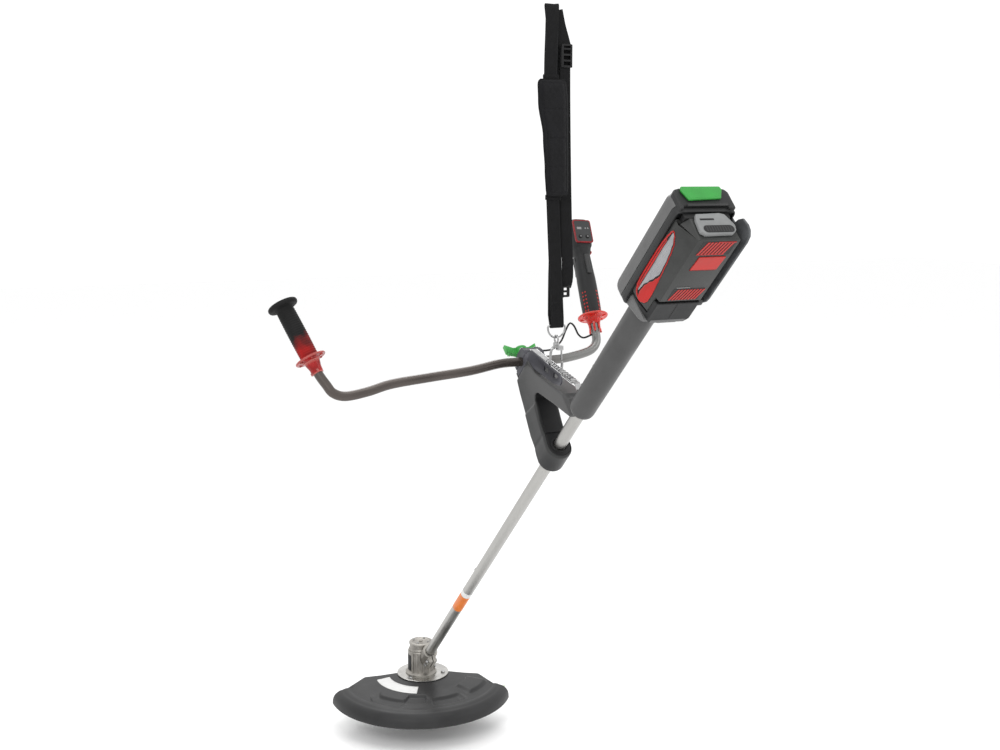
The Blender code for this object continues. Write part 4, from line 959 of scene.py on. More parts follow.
def left_grip():
    """The ribbed left grip with its end flange, and the red flange and hub under it."""
    rim = [
        (0.0, 0.0), (0.0236, 0.0), (0.0276, 0.0006), (0.0300, 0.0024), (0.0308, 0.0056), (0.0300, 0.0088),
        (0.0282, 0.0106), (0.0240, 0.0116), (0.0205, 0.0132)
    ]
    profile = [(radius, LEFT_LENGTH - below) for radius, below in rim]
    ribs = 22
    for step in range(ribs * 4 + 1):
        share = step / (ribs * 4)
        reach = LEFT_LENGTH - 0.0160 - (LEFT_LENGTH - 0.0260) * share
        swell = 0.0006 * math.sin(math.pi * share)
        ripple = 0.00035 * math.cos(2 * math.pi * step / 4)
        profile.append((0.0179 + swell + ripple, reach))
    profile += [(0.0181, 0.0084), (0.0, 0.0084)]
    body = turned(list(reversed(profile)), 56)
    piece(
        "left_grip_rubber", on_grip(body, LEFT_BASE, LEFT_AXIS), "handlebar", GRIP_FADE, BAR,
        sharp=60, replaces=["left_grip"]
    )
    cap = turned(
        [
            (0, LEFT_LENGTH + 0.0002), (0.0110, LEFT_LENGTH + 0.0002), (0.0116, LEFT_LENGTH - 0.0006),
            (0, LEFT_LENGTH - 0.0008)
        ],
        40
    )
    piece("left_grip_cap", on_grip(cap, LEFT_BASE, LEFT_AXIS), "handlebar", BLACK, BAR)
    disc_flange("left_flange", LEFT_BASE, LEFT_AXIS, 0.0315, "handlebar", RED_CLEAR_SHADED)
    hub = turned(
        [
            (0.0098, -0.0270), (0.0112, -0.0268), (0.0118, -0.0240), (0.0124, -0.0150), (0.0150, -0.0060),
            (0.0166, 0.0006), (0.0098, 0.0008),
        ],
        48
    )
    tabs = []
    for degrees in (20, 140, 260):
        tab = rounded_block((0.0112, -0.0022, -0.0262), (0.0140, 0.0022, -0.0200), 0.0007, 2)
        bmesh.ops.rotate(tab, matrix=Matrix.Rotation(math.radians(degrees), 3, "Z"), verts=tab.verts)
        tabs.append(tab)
    piece("left_hub", on_grip(joined(hub, *tabs), LEFT_BASE, LEFT_AXIS), "handlebar", RED_CLEAR_SHADED, BAR)


GRIP_SECTIONS = [
    (0.0084, 0.0200, 0.0196, 2.2), (0.0400, 0.0204, 0.0198, 2.3), (0.0850, 0.0200, 0.0196, 2.4),
    (0.1200, 0.0184, 0.0186, 2.4), (0.1450, 0.0174, 0.0180, 2.4), (0.1610, 0.0200, 0.0202, 3.0),
    (0.1700, 0.0232, 0.0218, 3.8), (0.1800, 0.0240, 0.0222, 4.6), (0.2200, 0.0240, 0.0222, 5.0),
    (0.2262, 0.0231, 0.0212, 4.6), (0.2300, 0.0205, 0.0186, 4.0),
]


def right_grip():
    """The body of the right grip, swept through its table of sections."""
    steps = 66
    path = [
        RIGHT_BASE + RIGHT_AXIS * (0.0084 + (0.2300 - 0.0084) * step / steps) for step in range(steps + 1)
    ]

    def section(share):
        wide, deep, square = between(GRIP_SECTIONS, 0.0084 + (0.2300 - 0.0084) * share)
        return oval(wide, deep, square, 56)

    body = swept(path, section, ACROSS)
    piece(
        "right_grip_body", body, "handlebar", CHARCOAL, BAR, sharp=50, replaces=["right_grip"]
    )


def grip_dots():
    """Rows of red dots and a dark strip under them, on both sides of the right grip."""
    dots, strips = [], []
    for centre in (-58, 38):
        for reach in (0.0160, 0.0245, 0.0330, 0.0415, 0.0500, 0.0585):
            for row in (-9, 9):
                turn = math.radians(centre + row)
                direction = Vector((math.sin(turn), -math.cos(turn), 0))
                dot = turned(
                    [(0, -0.0012), (0.0019, -0.0012), (0.0021, 0.0004), (0.0016, 0.0010), (0, 0.0012)], 14
                )
                wide = between(GRIP_SECTIONS, reach)[0]
                dots.append(
                    aimed(dot, direction, RIGHT_BASE + RIGHT_AXIS * reach + direction * (wide - 0.0002))
                )
        turn = math.radians(centre)
        direction = Vector((math.sin(turn), -math.cos(turn), 0))
        route = [
            RIGHT_BASE + RIGHT_AXIS * reach + direction * (between(GRIP_SECTIONS, reach)[0] - 0.0004)
            for reach in (0.0100, 0.0250, 0.0400, 0.0550, 0.0680)
        ]
        strips.append(
            swept(
                smooth_path(route, 0.004),
                lambda share: oval(0.0050 * (1 - 0.4 * share), 0.0007, 3.0, 20),
                Vector((math.cos(turn), math.sin(turn), 0))
            )
        )
    piece("right_grip_dots", joined(*dots), "handlebar", RED, BAR)
    piece("right_grip_strips", joined(*strips), "handlebar", RED_DARK, BAR)


def display():
    """A red frame round black glass, with holes for the two buttons and plain light marks."""
    outline = rounded_outline(0.0216, 0.0272, 0.0055)
    inner = rounded_outline(0.0190, 0.0244, 0.0046)
    frame_shape = bmesh.new()
    rows = [
        ring(frame_shape, [(a, level, 0.1980 + b) for a, b in loop])
        for loop, level in ((outline, -0.0215), (outline, -0.0258), (inner, -0.0262), (inner, -0.0215))
    ]
    for here, there in zip(rows, rows[1:] + rows[:1]):
        bridge(frame_shape, here, there)
    piece(
        "display_frame", on_grip(frame_shape, RIGHT_BASE, RIGHT_AXIS), "handlebar", RED_DEEP, BAR,
        bevel=0.0008
    )
    glass = prism(inner, -0.0256, -0.0236, lambda a, b, level: (a, level, 0.1980 + b))
    glass = piece(
        "display_glass", on_grip(glass, RIGHT_BASE, RIGHT_AXIS), "handlebar", GLOSS_BLACK, BAR,
        replaces=["right_bezel"]
    )
    for number, across in ((1, -0.0085), (2, 0.0085)):
        cutter = on_grip(
            aimed(
                turned([(0, 0.020), (0.0045, 0.020), (0.0045, 0.040), (0, 0.040)], 24), (0, -1, 0),
                (across, 0, 0.1850)
            ),
            RIGHT_BASE, RIGHT_AXIS
        )
        cut_hole(glass, f"display_hole_{number}", cutter, BAR)
    marks = [
        rounded_block((-0.0140, -0.0260, 0.2020), (-0.0030, -0.0255, 0.2075), 0.0002, 1),
        turned_at((0.0065, 0, 0.2050), 0.0018, 0.0254, 0.0260),
        turned_at((0.0125, 0, 0.2050), 0.0018, 0.0254, 0.0260),
    ]
    piece(
        "display_marks", on_grip(joined(*marks), RIGHT_BASE, RIGHT_AXIS), "handlebar", SILVER_FILM, BAR,
    )
    for number, across in ((1, -0.0085), (2, 0.0085)):
        symbol = on_grip(turned_at((across, 0, 0.1850), 0.0016, 0.0274, 0.0278), RIGHT_BASE, RIGHT_AXIS)
        piece(f"button_mark_{number}", symbol, f"button_{number}", SILVER_FILM, BAR)


def grip_side():
    """The red key on the side of the right grip, and the seam between its two halves."""
    side_key = turned([(0, 0), (0.0052, 0), (0.0052, 0.0018), (0.0044, 0.0028), (0, 0.0030)], 32)
    bmesh.ops.scale(side_key, vec=(0.75, 1.3, 1), verts=side_key.verts)
    piece(
        "side_key", on_grip(aimed(side_key, ACROSS, (0.0190, -0.0030, 0.1560)), RIGHT_BASE, RIGHT_AXIS),
        "handlebar", RED, BAR
    )
    seam = on_grip(
        joined(
            *[
                rounded_block(
                    (side * 0.0179 - 0.0006, -0.0003, 0.0100), (side * 0.0179 + 0.0006, 0.0003, 0.1440),
                    0.0002, 1
                )
                for side in (-1, 1)
            ]
        ),
        RIGHT_BASE, RIGHT_AXIS
    )
    piece("right_grip_seam", seam, "handlebar", BLACK, BAR)


def right_hub():
    """The red flange under the right grip, with six prongs that hold the bar."""
    disc_flange("right_flange", RIGHT_BASE, RIGHT_AXIS, 0.0330, "handlebar", RED_CLEAR)
    hub = turned(
        [(0.0098, -0.0120), (0.0130, -0.0118), (0.0150, -0.0060), (0.0164, 0.0006), (0.0098, 0.0008)], 48
    )
    prongs = []
    for degrees in (0, 60, 120, 180, 240, 300):
        prong = prism(
            [
                (0.0105, -0.0080), (0.0140, -0.0080), (0.0128, -0.0220), (0.0150, -0.0310),
                (0.0130, -0.0312), (0.0104, -0.0220)
            ],
            -0.0024, 0.0024, lambda out, rise, level: (out, level, rise)
        )
        bmesh.ops.rotate(prong, matrix=Matrix.Rotation(math.radians(degrees), 3, "Z"), verts=prong.verts)
        prongs.append(prong)
    piece(
        "right_hub", on_grip(joined(hub, *prongs), RIGHT_BASE, RIGHT_AXIS), "handlebar", RED_CLEAR, BAR,
        bevel=0.0004
    )


def rounded_outline(half_wide, half_high, corner, steps=6):
    """A rectangle with rounded corners, centred on the origin."""
    points = []
    for centre_x, centre_y, start in ((1, 1, 0), (-1, 1, 90), (-1, -1, 180), (1, -1, 270)):
        for step in range(steps + 1):
            turn = math.radians(start + 90 * step / steps)
            points.append(
                (
                    centre_x * (half_wide - corner) + corner * math.cos(turn),
                    centre_y * (half_high - corner) + corner * math.sin(turn)
                )
            )
    return points


def turned_at(place, radius, low, high):
    """A small disc on the face that looks back at the operator."""
    return aimed(turned([(0, low), (radius, low), (radius, high), (0, high)], 24), (0, -1, 0), place)


def cut_hole(obj, name, shape, place, kind="DIFFERENCE"):
    """Cuts a shape out of a piece and removes the shape again."""
    bmesh.ops.transform(shape, matrix=place, verts=shape.verts)
    bmesh.ops.recalc_face_normals(shape, faces=shape.faces)
    mesh = bpy.data.meshes.new(name)
    shape.to_mesh(mesh)
    shape.free()
    cutter = bpy.data.objects.new(name, mesh)
    bpy.context.scene.collection.objects.link(cutter)
    cut = obj.modifiers.new(name, "BOOLEAN")
    cut.operation = kind
    cut.solver = "EXACT"
    cut.object = cutter
    settle(obj)
    bpy.data.objects.remove(cutter)
    bpy.data.meshes.remove(mesh)


def settle(obj, sharp=35):
    """Replaces a piece's mesh by the result of its modifiers."""
    bpy.context.view_layer.update()
    graph = bpy.context.evaluated_depsgraph_get()
    made = bpy.data.meshes.new_from_object(obj.evaluated_get(graph))
    old = obj.data
    obj.modifiers.clear()
    obj.data = made
    bpy.data.meshes.remove(old)
    made.shade_smooth()
    made.set_sharp_from_angle(angle=math.radians(sharp))


# ---- cords ----
CABLE_ROUTE = [
    (0.1530, 0.1270, 0.0430), (0.1320, 0.1270, 0.0370), (0.1190, 0.1270, 0.0450),
    (0.1090, 0.1270, 0.0630), (0.0985, 0.1270, 0.0700), (0.0890, 0.1270, 0.0560),
    (0.0780, 0.1270, 0.0330), (0.0600, 0.1270, 0.0180), (0.0420, 0.1260, 0.0150),
    (0.0262, 0.1252, 0.0160),
]


def cord(name, path, radius, surface, body, replaces, slot, **facts):
    curve = bpy.data.curves.new(name, "CURVE")
    curve.dimensions = "3D"
    curve.bevel_depth = radius
    curve.bevel_resolution = 5
    curve.use_fill_caps = True
    line = curve.splines.new("POLY")
    line.points.add(len(path) - 1)
    for point, place in zip(line.points, path):
        point.co = (*place, 1)
    line.use_smooth = True
    curve.materials.append(surface)
    made = bpy.data.objects.new(name, curve)
    bpy.context.scene.collection.objects.link(made)
    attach(made, body)
    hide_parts(replaces)
    return made


def cords():
    """The control lead and the two ends of the cutting line."""
    path = smooth_path(CABLE_ROUTE, 0.0050)
    cord(
        "control_lead", path, 0.0020, CABLE, "handlebar", "control_cable", "black", far_end="object",
        stiffness="stiff", lay="loose"
    )
    for side, word in ((-1, "left"), (1, "right")):
        points = [
            (0.056, 0, -0.086), (0.090, -0.002 * side, -0.086), (0.140, -0.008 * side, -0.087),
            (0.190, -0.020 * side, -0.089), (0.226, -0.033 * side, -0.092)
        ]
        path = [HEAD @ Vector((side * p[0], p[1], p[2])) for p in smooth_path(points, 0.010)]
        cord(
            f"cutting_line_{word}", path, 0.0012, LINE, "head", f"trimmer_line_{word}", "line",
            far_end="bare", stiffness="stiff", lay="taut"
        )


# ---- yoke, rear tube and clamp ----
YOKE_OUTLINE = [
    (1.0145, 0.0500), (1.0145, 0.0603), (1.0300, 0.1500), (1.0370, 0.1860), (1.1080, 0.1860),
    (1.1200, 0.1400), (1.1600, 0.0840), (1.1900, 0.0430), (1.1900, -0.0060), (1.1800, -0.0060),
    (1.1470, 0.0450), (1.1040, 0.1080), (1.0960, 0.1130), (1.0860, 0.1130), (1.0800, 0.1070),
    (1.0665, 0.0603), (1.0630, 0.0500),
]
YOKE_HALF = 0.0240
REAR_START = 1.1905
REAR_END = 1.5285


def remeshed(shapes, name, voxel, passes, surface, replaces, body="cutter", place=SHAFT):
    """Fuses overlapping shapes into one moulding whose inner corners are rounded off."""
    whole = piece(name, joined(*shapes), body, surface, place, replaces=replaces)
    remesh = whole.modifiers.new("fuse", "REMESH")
    remesh.mode = "VOXEL"
    remesh.voxel_size = voxel
    remesh.use_smooth_shade = True
    relax = whole.modifiers.new("relax", "SMOOTH")
    relax.factor = 0.5
    relax.iterations = passes
    settle(whole, 60)
    return whole


def solid_prism(outline, low, high, edge):
    """A side plate of the yoke with its long edges rounded."""
    shape = prism(outline, low, high, side_view)
    flat = [edge_ for edge_ in shape.edges if abs(edge_.verts[0].co.x - edge_.verts[1].co.x) < 1e-6]
    bmesh.ops.bevel(shape, geom=flat, offset=edge, segments=4, affect="EDGES", profile=0.5)
    return shape


def yoke_egg(grow, start, end):
    """The foot of the yoke around the shaft, round in front and squarer towards the leg."""
    shape = bmesh.new()
    rows = []
    for inset, along in (
        (0.0050, start), (0.0014, start + 0.0016), (0.0, start + 0.0050), (0.0, end - 0.0040),
        (0.0012, end - 0.0012), (0.0040, end)
    ):
        loop = []
        for step in range(72):
            turn = 2 * math.pi * step / 72
            x, y = math.cos(turn), math.sin(turn)
            wide = 0.0285 + grow - inset
            reach = (0.0285 + grow - inset) if y < 0 else (0.0600 + grow - inset)
            squareness = 2.0 if y < 0 else 2.7
            px = math.copysign(abs(x) ** (2 / squareness), x) * wide * (1 - 0.12 * max(0, y))
            py = math.copysign(abs(y) ** (2 / squareness), y) * reach
            loop.append(shape.verts.new((px, py, along)))
        rows.append(loop)
    for here, there in zip(rows, rows[1:]):
        bridge(shape, here, there)
    shape.faces.new(rows[0])
    shape.faces.new(list(reversed(rows[-1])))
    return shape


def yoke():
    """The yoke's arm and the rear tube, fused into one moulding."""
    arm = solid_prism(YOKE_OUTLINE, -YOKE_HALF, YOKE_HALF, 0.0040)
    tube = turned(
        [
            (0, REAR_START), (0.0180, REAR_START), (0.0218, REAR_START + 0.0014),
            (0.0244, REAR_START + 0.0050), (0.0255, REAR_START + 0.0110), (0.0258, REAR_START + 0.0900),
            (0.0268, REAR_END), (0, REAR_END),
        ],
        96
    )
    neck = [
        (1.1760, 0.0560), (1.1760, 0.0200), (1.1930, -0.0100), (1.2100, 0.0), (1.2080, 0.0200),
        (1.1960, 0.0280), (1.1880, 0.0360)
    ]
    web = prism(neck, -0.0150, 0.0080, side_view)
    shank = solid_prism(
        [
            (1.0130, 0.0300), (1.0130, 0.0590), (1.0230, 0.1080), (1.0790, 0.0980), (1.0690, 0.0590),
            (1.0660, 0.0300)
        ],
        -0.0268, 0.0268, 0.0040
    )
    remeshed(
        [arm, tube, web, shank, yoke_egg(0.0, 1.0085, 1.0665)], "rear_moulding", 0.0018, 5, MOULDING,
        ["yoke_left", "yoke_right", "yoke_core", "rear_tube"]
    )


def yoke_gap_shade_and_foot():
    """A black sheet on the inner face of the yoke's gap, which paints the shade on that face, and the black
    foot round the shaft.
    """
    inner_edge = [
        (1.0700, 0.0300), (1.0705, 0.0480), (1.0730, 0.0620), (1.0805, 0.1050), (1.0868, 0.1124),
        (1.0952, 0.1124), (1.1000, 0.1098)
    ]
    route = smooth_path([Vector((0.0, above, along)) for along, above in inner_edge], 0.0030)
    # The black sheet on the rear face of the front leg is painted shade.
    panel = swept(route, lambda share: oval(0.0215, 0.0016, 8.0, 28), ACROSS)
    piece("yoke_gap_shade", panel, "cutter", BLACK, SHAFT)

    piece("yoke_foot_rim", yoke_egg(-0.0035, 1.0640, 1.0694), "cutter", BLACK, SHAFT)
    bush = turned(
        [
            (0.0133, 1.0600), (0.0190, 1.0600), (0.0190, 1.0702), (0.0182, 1.0710), (0.0150, 1.0710),
            (0.0133, 1.0696)
        ],
        48
    )
    piece("yoke_foot_bush", bush, "cutter", BLACK, SHAFT)


def yoke_screws():
    """The screws that hold the halves of the yoke together."""
    screws = []
    for along, above in ((1.0480, 0.1300), (1.0400, 0.0840), (1.1080, 0.1420), (1.1380, 0.0960)):
        screw = turned(
            [
                (0, 0), (0.0040, 0), (0.0042, 0.0006), (0.0030, 0.0013), (0.0016, 0.0013),
                (0.0016, 0.0004), (0, 0.0004)
            ],
            24
        )
        screws.append(aimed(screw, ACROSS, (YOKE_HALF - 0.0004, above, along)))
    piece("yoke_screws", joined(*screws), "cutter", STEEL, SHAFT)


def clamp_details():
    """Fittings on the handlebar's clamp."""
    seat = rounded_block((-0.0205, 0.1868, 1.0400), (0.0205, 0.2000, 1.0475), 0.0015)
    piece("clamp_lip", seat, "cutter", BLACK, SHAFT)
    pads = [
        rounded_block(
            (side * 0.0150 - 0.0050, 0.2246, 1.0790), (side * 0.0150 + 0.0050, 0.2262, 1.0960), 0.0006, 2
        )
        for side in (-1, 1)
    ]
    piece("clamp_pads", joined(*pads), "cutter", DARK_STEEL, SHAFT)
    screws = []
    for side in (-1, 1):
        head = turned(
            [
                (0, 0), (0.0045, 0), (0.0048, 0.0008), (0.0048, 0.0034), (0.0040, 0.0042),
                (0.0024, 0.0042), (0.0024, 0.0018), (0, 0.0018)
            ],
            24
        )
        screws.append(aimed(head, Vector((0, 1, 0.08)), (side * 0.0150, 0.2252, 1.0880)))
    piece("clamp_screws", joined(*screws), "cutter", STEEL, SHAFT)
    finish_rail()


RAIL_FROM = Vector((1.1076, 0.2120))
RAIL_TO = Vector((1.2160, 0.0470))


def finish_rail():
    """Two bright rods along the rail's edges, and the coil spring that keeps the hook between them."""
    ahead = (RAIL_TO - RAIL_FROM).normalized()
    over = Vector((-ahead.y, ahead.x))
    shapes = []
    for side in (-1, 1):
        route = []
        for share in (0.0, 0.25, 0.5, 0.75, 0.96):
            spot = RAIL_FROM + (RAIL_TO - RAIL_FROM) * share + over * (-0.0012)
            route.append(Vector((side * 0.0078, spot.y, spot.x)))
        shapes.append(
            swept(smooth_path(route, 0.006), lambda share: oval(0.0015, 0.0015, sides=16), ACROSS)
        )
    piece("rail_rods", joined(*shapes), "cutter", STEEL, SHAFT)
    coil = []
    length = (RAIL_TO - RAIL_FROM).length
    turns = 12
    for step in range(turns * 14 + 1):
        angle = 2 * math.pi * step / 14
        along = length * (0.34 + 0.56 * step / (turns * 14))
        spot = RAIL_FROM + ahead * along + over * (-0.0012 + 0.0040 * math.sin(angle))
        coil.append(Vector((0.0060 * math.cos(angle), spot.y, spot.x)))
    spring = swept(coil, lambda share: oval(0.0006, 0.0006, sides=8))
    piece("rail_spring", spring, "cutter", DARK_STEEL, SHAFT)


def cable_clips():
    """Clips along the rear tube, and the collar at its end."""
    clips = []
    for along in (1.2390, 1.3000, 1.3530):
        clip = rounded_block((-0.0045, 0.0245, along - 0.0045), (0.0045, 0.0318, along + 0.0045), 0.0012, 2)
        slit = rounded_block((-0.0075, 0.0285, along - 0.0028), (0.0075, 0.0305, along + 0.0028), 0.0008, 2)
        clips += [clip, slit]
    piece("cable_clips", joined(*clips), "cutter", BLACK, SHAFT)
    collar = turned(
        [
            (0.0264, REAR_END - 0.0130), (0.0276, REAR_END - 0.0124), (0.0280, REAR_END - 0.0060),
            (0.0280, REAR_END - 0.0010), (0.0264, REAR_END - 0.0010)
        ],
        72
    )
    piece("rear_collar", collar, "cutter", BLACK, SHAFT)


# ---- housing and battery ----
HOUSING_HALF = 0.0580
HOUSING_START = 1.5290
HOUSING_END = 1.7620
SIDE_LOW = -0.0150
FACE_LOW = -0.0600
BATTERY_START = 1.6030
BATTERY_END = 1.7580
BUTTON_HALF = 0.0330


def plan(half, start, end, corner, steps=5):
    """The housing's outline seen from above, with rounded corners."""
    centre = (start + end) / 2
    return [
        (across, centre + along)
        for across, along in rounded_outline(half, (end - start) / 2, corner, steps)
    ]


def shell_layers(layers, corner):
    """A shell of outlines at rising heights, each set in by its own inset."""
    shape = bmesh.new()
    rows = []
    for inset, above in layers:
        outline = plan(
            HOUSING_HALF - inset, HOUSING_START + inset, HOUSING_END - inset,
            max(0.004, corner - inset * 0.5)
        )
        rows.append([shape.verts.new((across, above, along)) for across, along in outline])
    for here, there in zip(rows, rows[1:]):
        bridge(shape, here, there)
    return shape, rows


def housing():
    """A light grey cover above a charcoal frame, cut out for the button and for the battery."""
    cover, rows = shell_layers(
        [
            (0.0004, 0.0106), (0.0, 0.0114), (0.0, 0.0260), (0.0006, 0.0300), (0.0022, 0.0345),
            (0.0052, 0.0395), (0.0086, 0.0426), (0.0120, 0.0438), (0.0170, 0.0440),
        ],
        0.0120
    )
    cover.faces.new(list(reversed(rows[0])))
    cover.faces.new(rows[-1])
    cover = piece(
        "housing_cover", cover, "cutter", GREY, SHAFT, sharp=50, replaces=["housing_shell"]
    )
    frame_shape, rows = shell_layers(
        [
            (0.0026, 0.0104), (0.0008, 0.0098), (0.0004, 0.0086), (0.0004, -0.0022), (0.0012, -0.0038),
            (0.0034, -0.0042),
        ],
        0.0120
    )
    frame_shape.faces.new(list(reversed(rows[0])))
    frame_shape.faces.new(rows[-1])
    frame_piece = piece(
        "housing_frame", frame_shape, "cutter", CHARCOAL, SHAFT, sharp=50,
        replaces=["housing_tray"]
    )
    pocket = block((-BUTTON_HALF - 0.0015, 0.0240, 1.7490), (BUTTON_HALF + 0.0015, 0.0700, 1.7800))
    cut_hole(cover, "button_pocket", pocket, SHAFT)
    bay = rounded_block((-0.0540, -0.0300, 1.6000), (0.0538, 0.0004, 1.7570), 0.0004, 1)
    cut_hole(frame_piece, "battery_floor", bay, SHAFT)


def housing_end():
    """The rear end of the housing and its lip, and a black block under the lip that paints the shade of the
    recess above the battery's latch.
    """
    mask = [
        (-0.0535, -0.0020), (-0.0535, 0.0320), (-0.0490, 0.0390), (-0.0360, 0.0425), (-0.0345, 0.0240),
        (0.0345, 0.0240), (0.0350, 0.0425), (0.0480, 0.0390), (0.0525, 0.0320), (0.0525, -0.0020),
        (0.0400, -0.0020), (0.0400, 0.0040), (-0.0440, 0.0040), (-0.0470, -0.0020),
    ]
    end_mask = prism(mask, 1.7560, 1.7672, rear_view)
    piece("housing_end", end_mask, "cutter", CHARCOAL, SHAFT, bevel=0.0022)
    brow = [
        (1.7655, 0.0032), (1.7672, 0.0032), (1.7684, 0.0044), (1.7684, 0.0074), (1.7672, 0.0088),
        (1.7655, 0.0088)
    ]
    piece(
        "housing_brow", prism(brow, -0.0380, 0.0400, side_view), "cutter", CHARCOAL, SHAFT,
        bevel=0.0010
    )
    # Painted shade: a black block fills the recess between the housing's lip and the latch.
    recess_shade = rounded_block((-0.0450, -0.0135, 1.7440), (0.0415, -0.0026, 1.7565), 0.0006, 1)
    piece("recess_shade_block", joined(recess_shade), "battery", BLACK, SHAFT)


def battery_shelf():
    """The shelf that the front of the battery rests on, with its pale chin and trim."""
    shelf = [
        (-0.0550, SIDE_LOW + 0.0110), (-0.0550, SIDE_LOW), (-0.0420, FACE_LOW), (0.0420, FACE_LOW),
        (0.0550, SIDE_LOW), (0.0550, SIDE_LOW + 0.0110)
    ]
    shape = prism(shelf, 1.5463, 1.5968, rear_view)
    shelf_piece = piece("battery_shelf", shape, "cutter", CHARCOAL, SHAFT)
    for side in (-1, 1):
        corner = [(side * 0.0700, 1.5300), (side * 0.0180, 1.5300), (side * 0.0700, 1.5810)]
        cut_hole(shelf_piece, f"shelf_corner_{side + 1}", prism(corner, -0.0800, 0.0100, plan_view), SHAFT)
    cut_hole(shelf_piece, "skirt_bay", block((-0.0700, -0.0512, 1.5645), (-0.0388, 0.0100, 1.6100)), SHAFT)
    soften(shelf_piece, 0.0016, 3)
    chin = prism(
        [
            (1.5300, 0.0095), (1.5300, -0.0020), (1.5420, -0.0450), (1.5490, -0.0585), (1.5550, -0.0590),
            (1.5555, 0.0095)
        ],
        -0.0500, -0.0200, side_view
    )
    piece("housing_chin", chin, "cutter", GREY, SHAFT, bevel=0.0030)
    trim = rounded_block(
        (-0.0345, FACE_LOW - 0.0004, 1.5466), (0.0345, FACE_LOW + 0.0030, 1.5540), 0.0008, 2
    )
    rim = [rounded_block((-0.0190, FACE_LOW - 0.0002, 1.5452), (0.0190, -0.0100, 1.5472), 0.0008, 2)]
    piece("shelf_trim", joined(trim, *rim), "cutter", GREY, SHAFT)
    seam = rounded_block(
        (-0.0005, FACE_LOW - 0.0005, 1.5570), (0.0005, FACE_LOW + 0.0010, 1.5940), 0.0002, 1
    )
    piece("shelf_seam", seam, "cutter", BLACK, SHAFT)


def housing_wing():
    """The wing that guards the right of the battery, 1.3 mm clear of it, with its root and ribs."""
    wing_outline = [
        (1.5790, SIDE_LOW + 0.0010), (1.5790, -0.0420), (1.5850, -0.0520), (1.5960, -0.0585),
        (1.6060, -0.0600), (1.7480, -0.0600), (1.7600, -0.0575), (1.7670, -0.0500), (1.7690, -0.0400),
        (1.7660, -0.0240), (1.7560, -0.0170), (1.7450, SIDE_LOW + 0.0010), (1.7440, -0.0020),
        (1.5790, -0.0020),
    ]
    wing = prism(wing_outline, 0.0543, 0.0585, side_view)
    # The wing and its ribs take the lighter copy of the charcoal: painted light.
    piece("housing_wing", wing, "cutter", WING_PAINTED_LIGHT, SHAFT, bevel=0.0012)
    root = rounded_block(
        (0.0380, FACE_LOW + 0.0060, 1.5800), (0.0570, SIDE_LOW + 0.0050, 1.5960), 0.0020, 2
    )
    piece("wing_root", root, "cutter", CHARCOAL, SHAFT)
    ribs = [
        rounded_block((0.0583, -0.0520, along), (0.0592, -0.0200, along + 0.0016), 0.0004, 2)
        for along in [1.6200 + 0.0160 * k for k in range(8)]
    ]
    piece("wing_ribs", joined(*ribs), "cutter", WING_PAINTED_LIGHT, SHAFT)


def cover_fittings():
    """Vent slots and screws on the far face of the cover."""
    vents = [
        rounded_block(
            (-0.0260, 0.0436, 1.5650 + 0.0085 * step), (0.0260, 0.0444, 1.5690 + 0.0085 * step), 0.0004, 2
        )
        for step in range(6)
    ]
    piece("cover_vents", joined(*vents), "cutter", BLACK, SHAFT)
    screws = []
    for side in (-1, 1):
        for along in (1.5480, 1.7280):
            screw = turned(
                [
                    (0, 0), (0.0042, 0), (0.0042, 0.0006), (0.0020, 0.0006), (0.0020, -0.0002),
                    (0, -0.0002)
                ],
                24
            )
            screws.append(aimed(screw, Vector((0, 1, 0)), (side * 0.0360, 0.0438, along)))
    piece("cover_screws", joined(*screws), "cutter", STEEL, SHAFT)


def slanted(across, along, length, width, low, high):
    """A short bar across the battery's face that leans to one side."""
    lean = 0.30
    outline = [
        (across - width / 2, along), (across + width / 2, along),
        (across + width / 2 + lean * length, along + length),
        (across - width / 2 + lean * length, along + length)
    ]
    return prism(outline, low, high, plan_view)


def battery():
    """The body of the battery, with its cut corners, and the skirt at its lower left."""
    sides = [
        (-0.0530, -0.0023), (-0.0530, -0.0180), (-0.0410, FACE_LOW), (0.0410, FACE_LOW),
        (0.0530, -0.0180), (0.0530, -0.0023),
    ]
    case = piece(
        "battery_body", prism(sides, BATTERY_START, BATTERY_END, rear_view), "battery", BATTERY, SHAFT,
        replaces=["battery_case"]
    )
    for side in (-1, 1):
        corner = [(side * 0.0700, 1.7760), (side * 0.0200, 1.7760), (side * 0.0700, 1.7235)]
        cut_hole(case, f"battery_corner_{side + 1}", prism(corner, -0.0800, 0.0200, plan_view), SHAFT)
    cut_hole(case, "battery_step", block((-0.0600, -0.0142, 1.7440), (0.0600, 0.0100, 1.7800)), SHAFT)
    soften(case, 0.0042, 4)
    settle(case, 50)
    skirt = [
        (-0.0530, -0.0027), (-0.0530, -0.0180), (-0.0438, -0.0500), (-0.0400, -0.0500), (-0.0400, -0.0027)
    ]
    piece(
        "battery_skirt", prism(skirt, 1.5670, 1.6080, rear_view), "battery", BATTERY, SHAFT,
        bevel=0.0010
    )


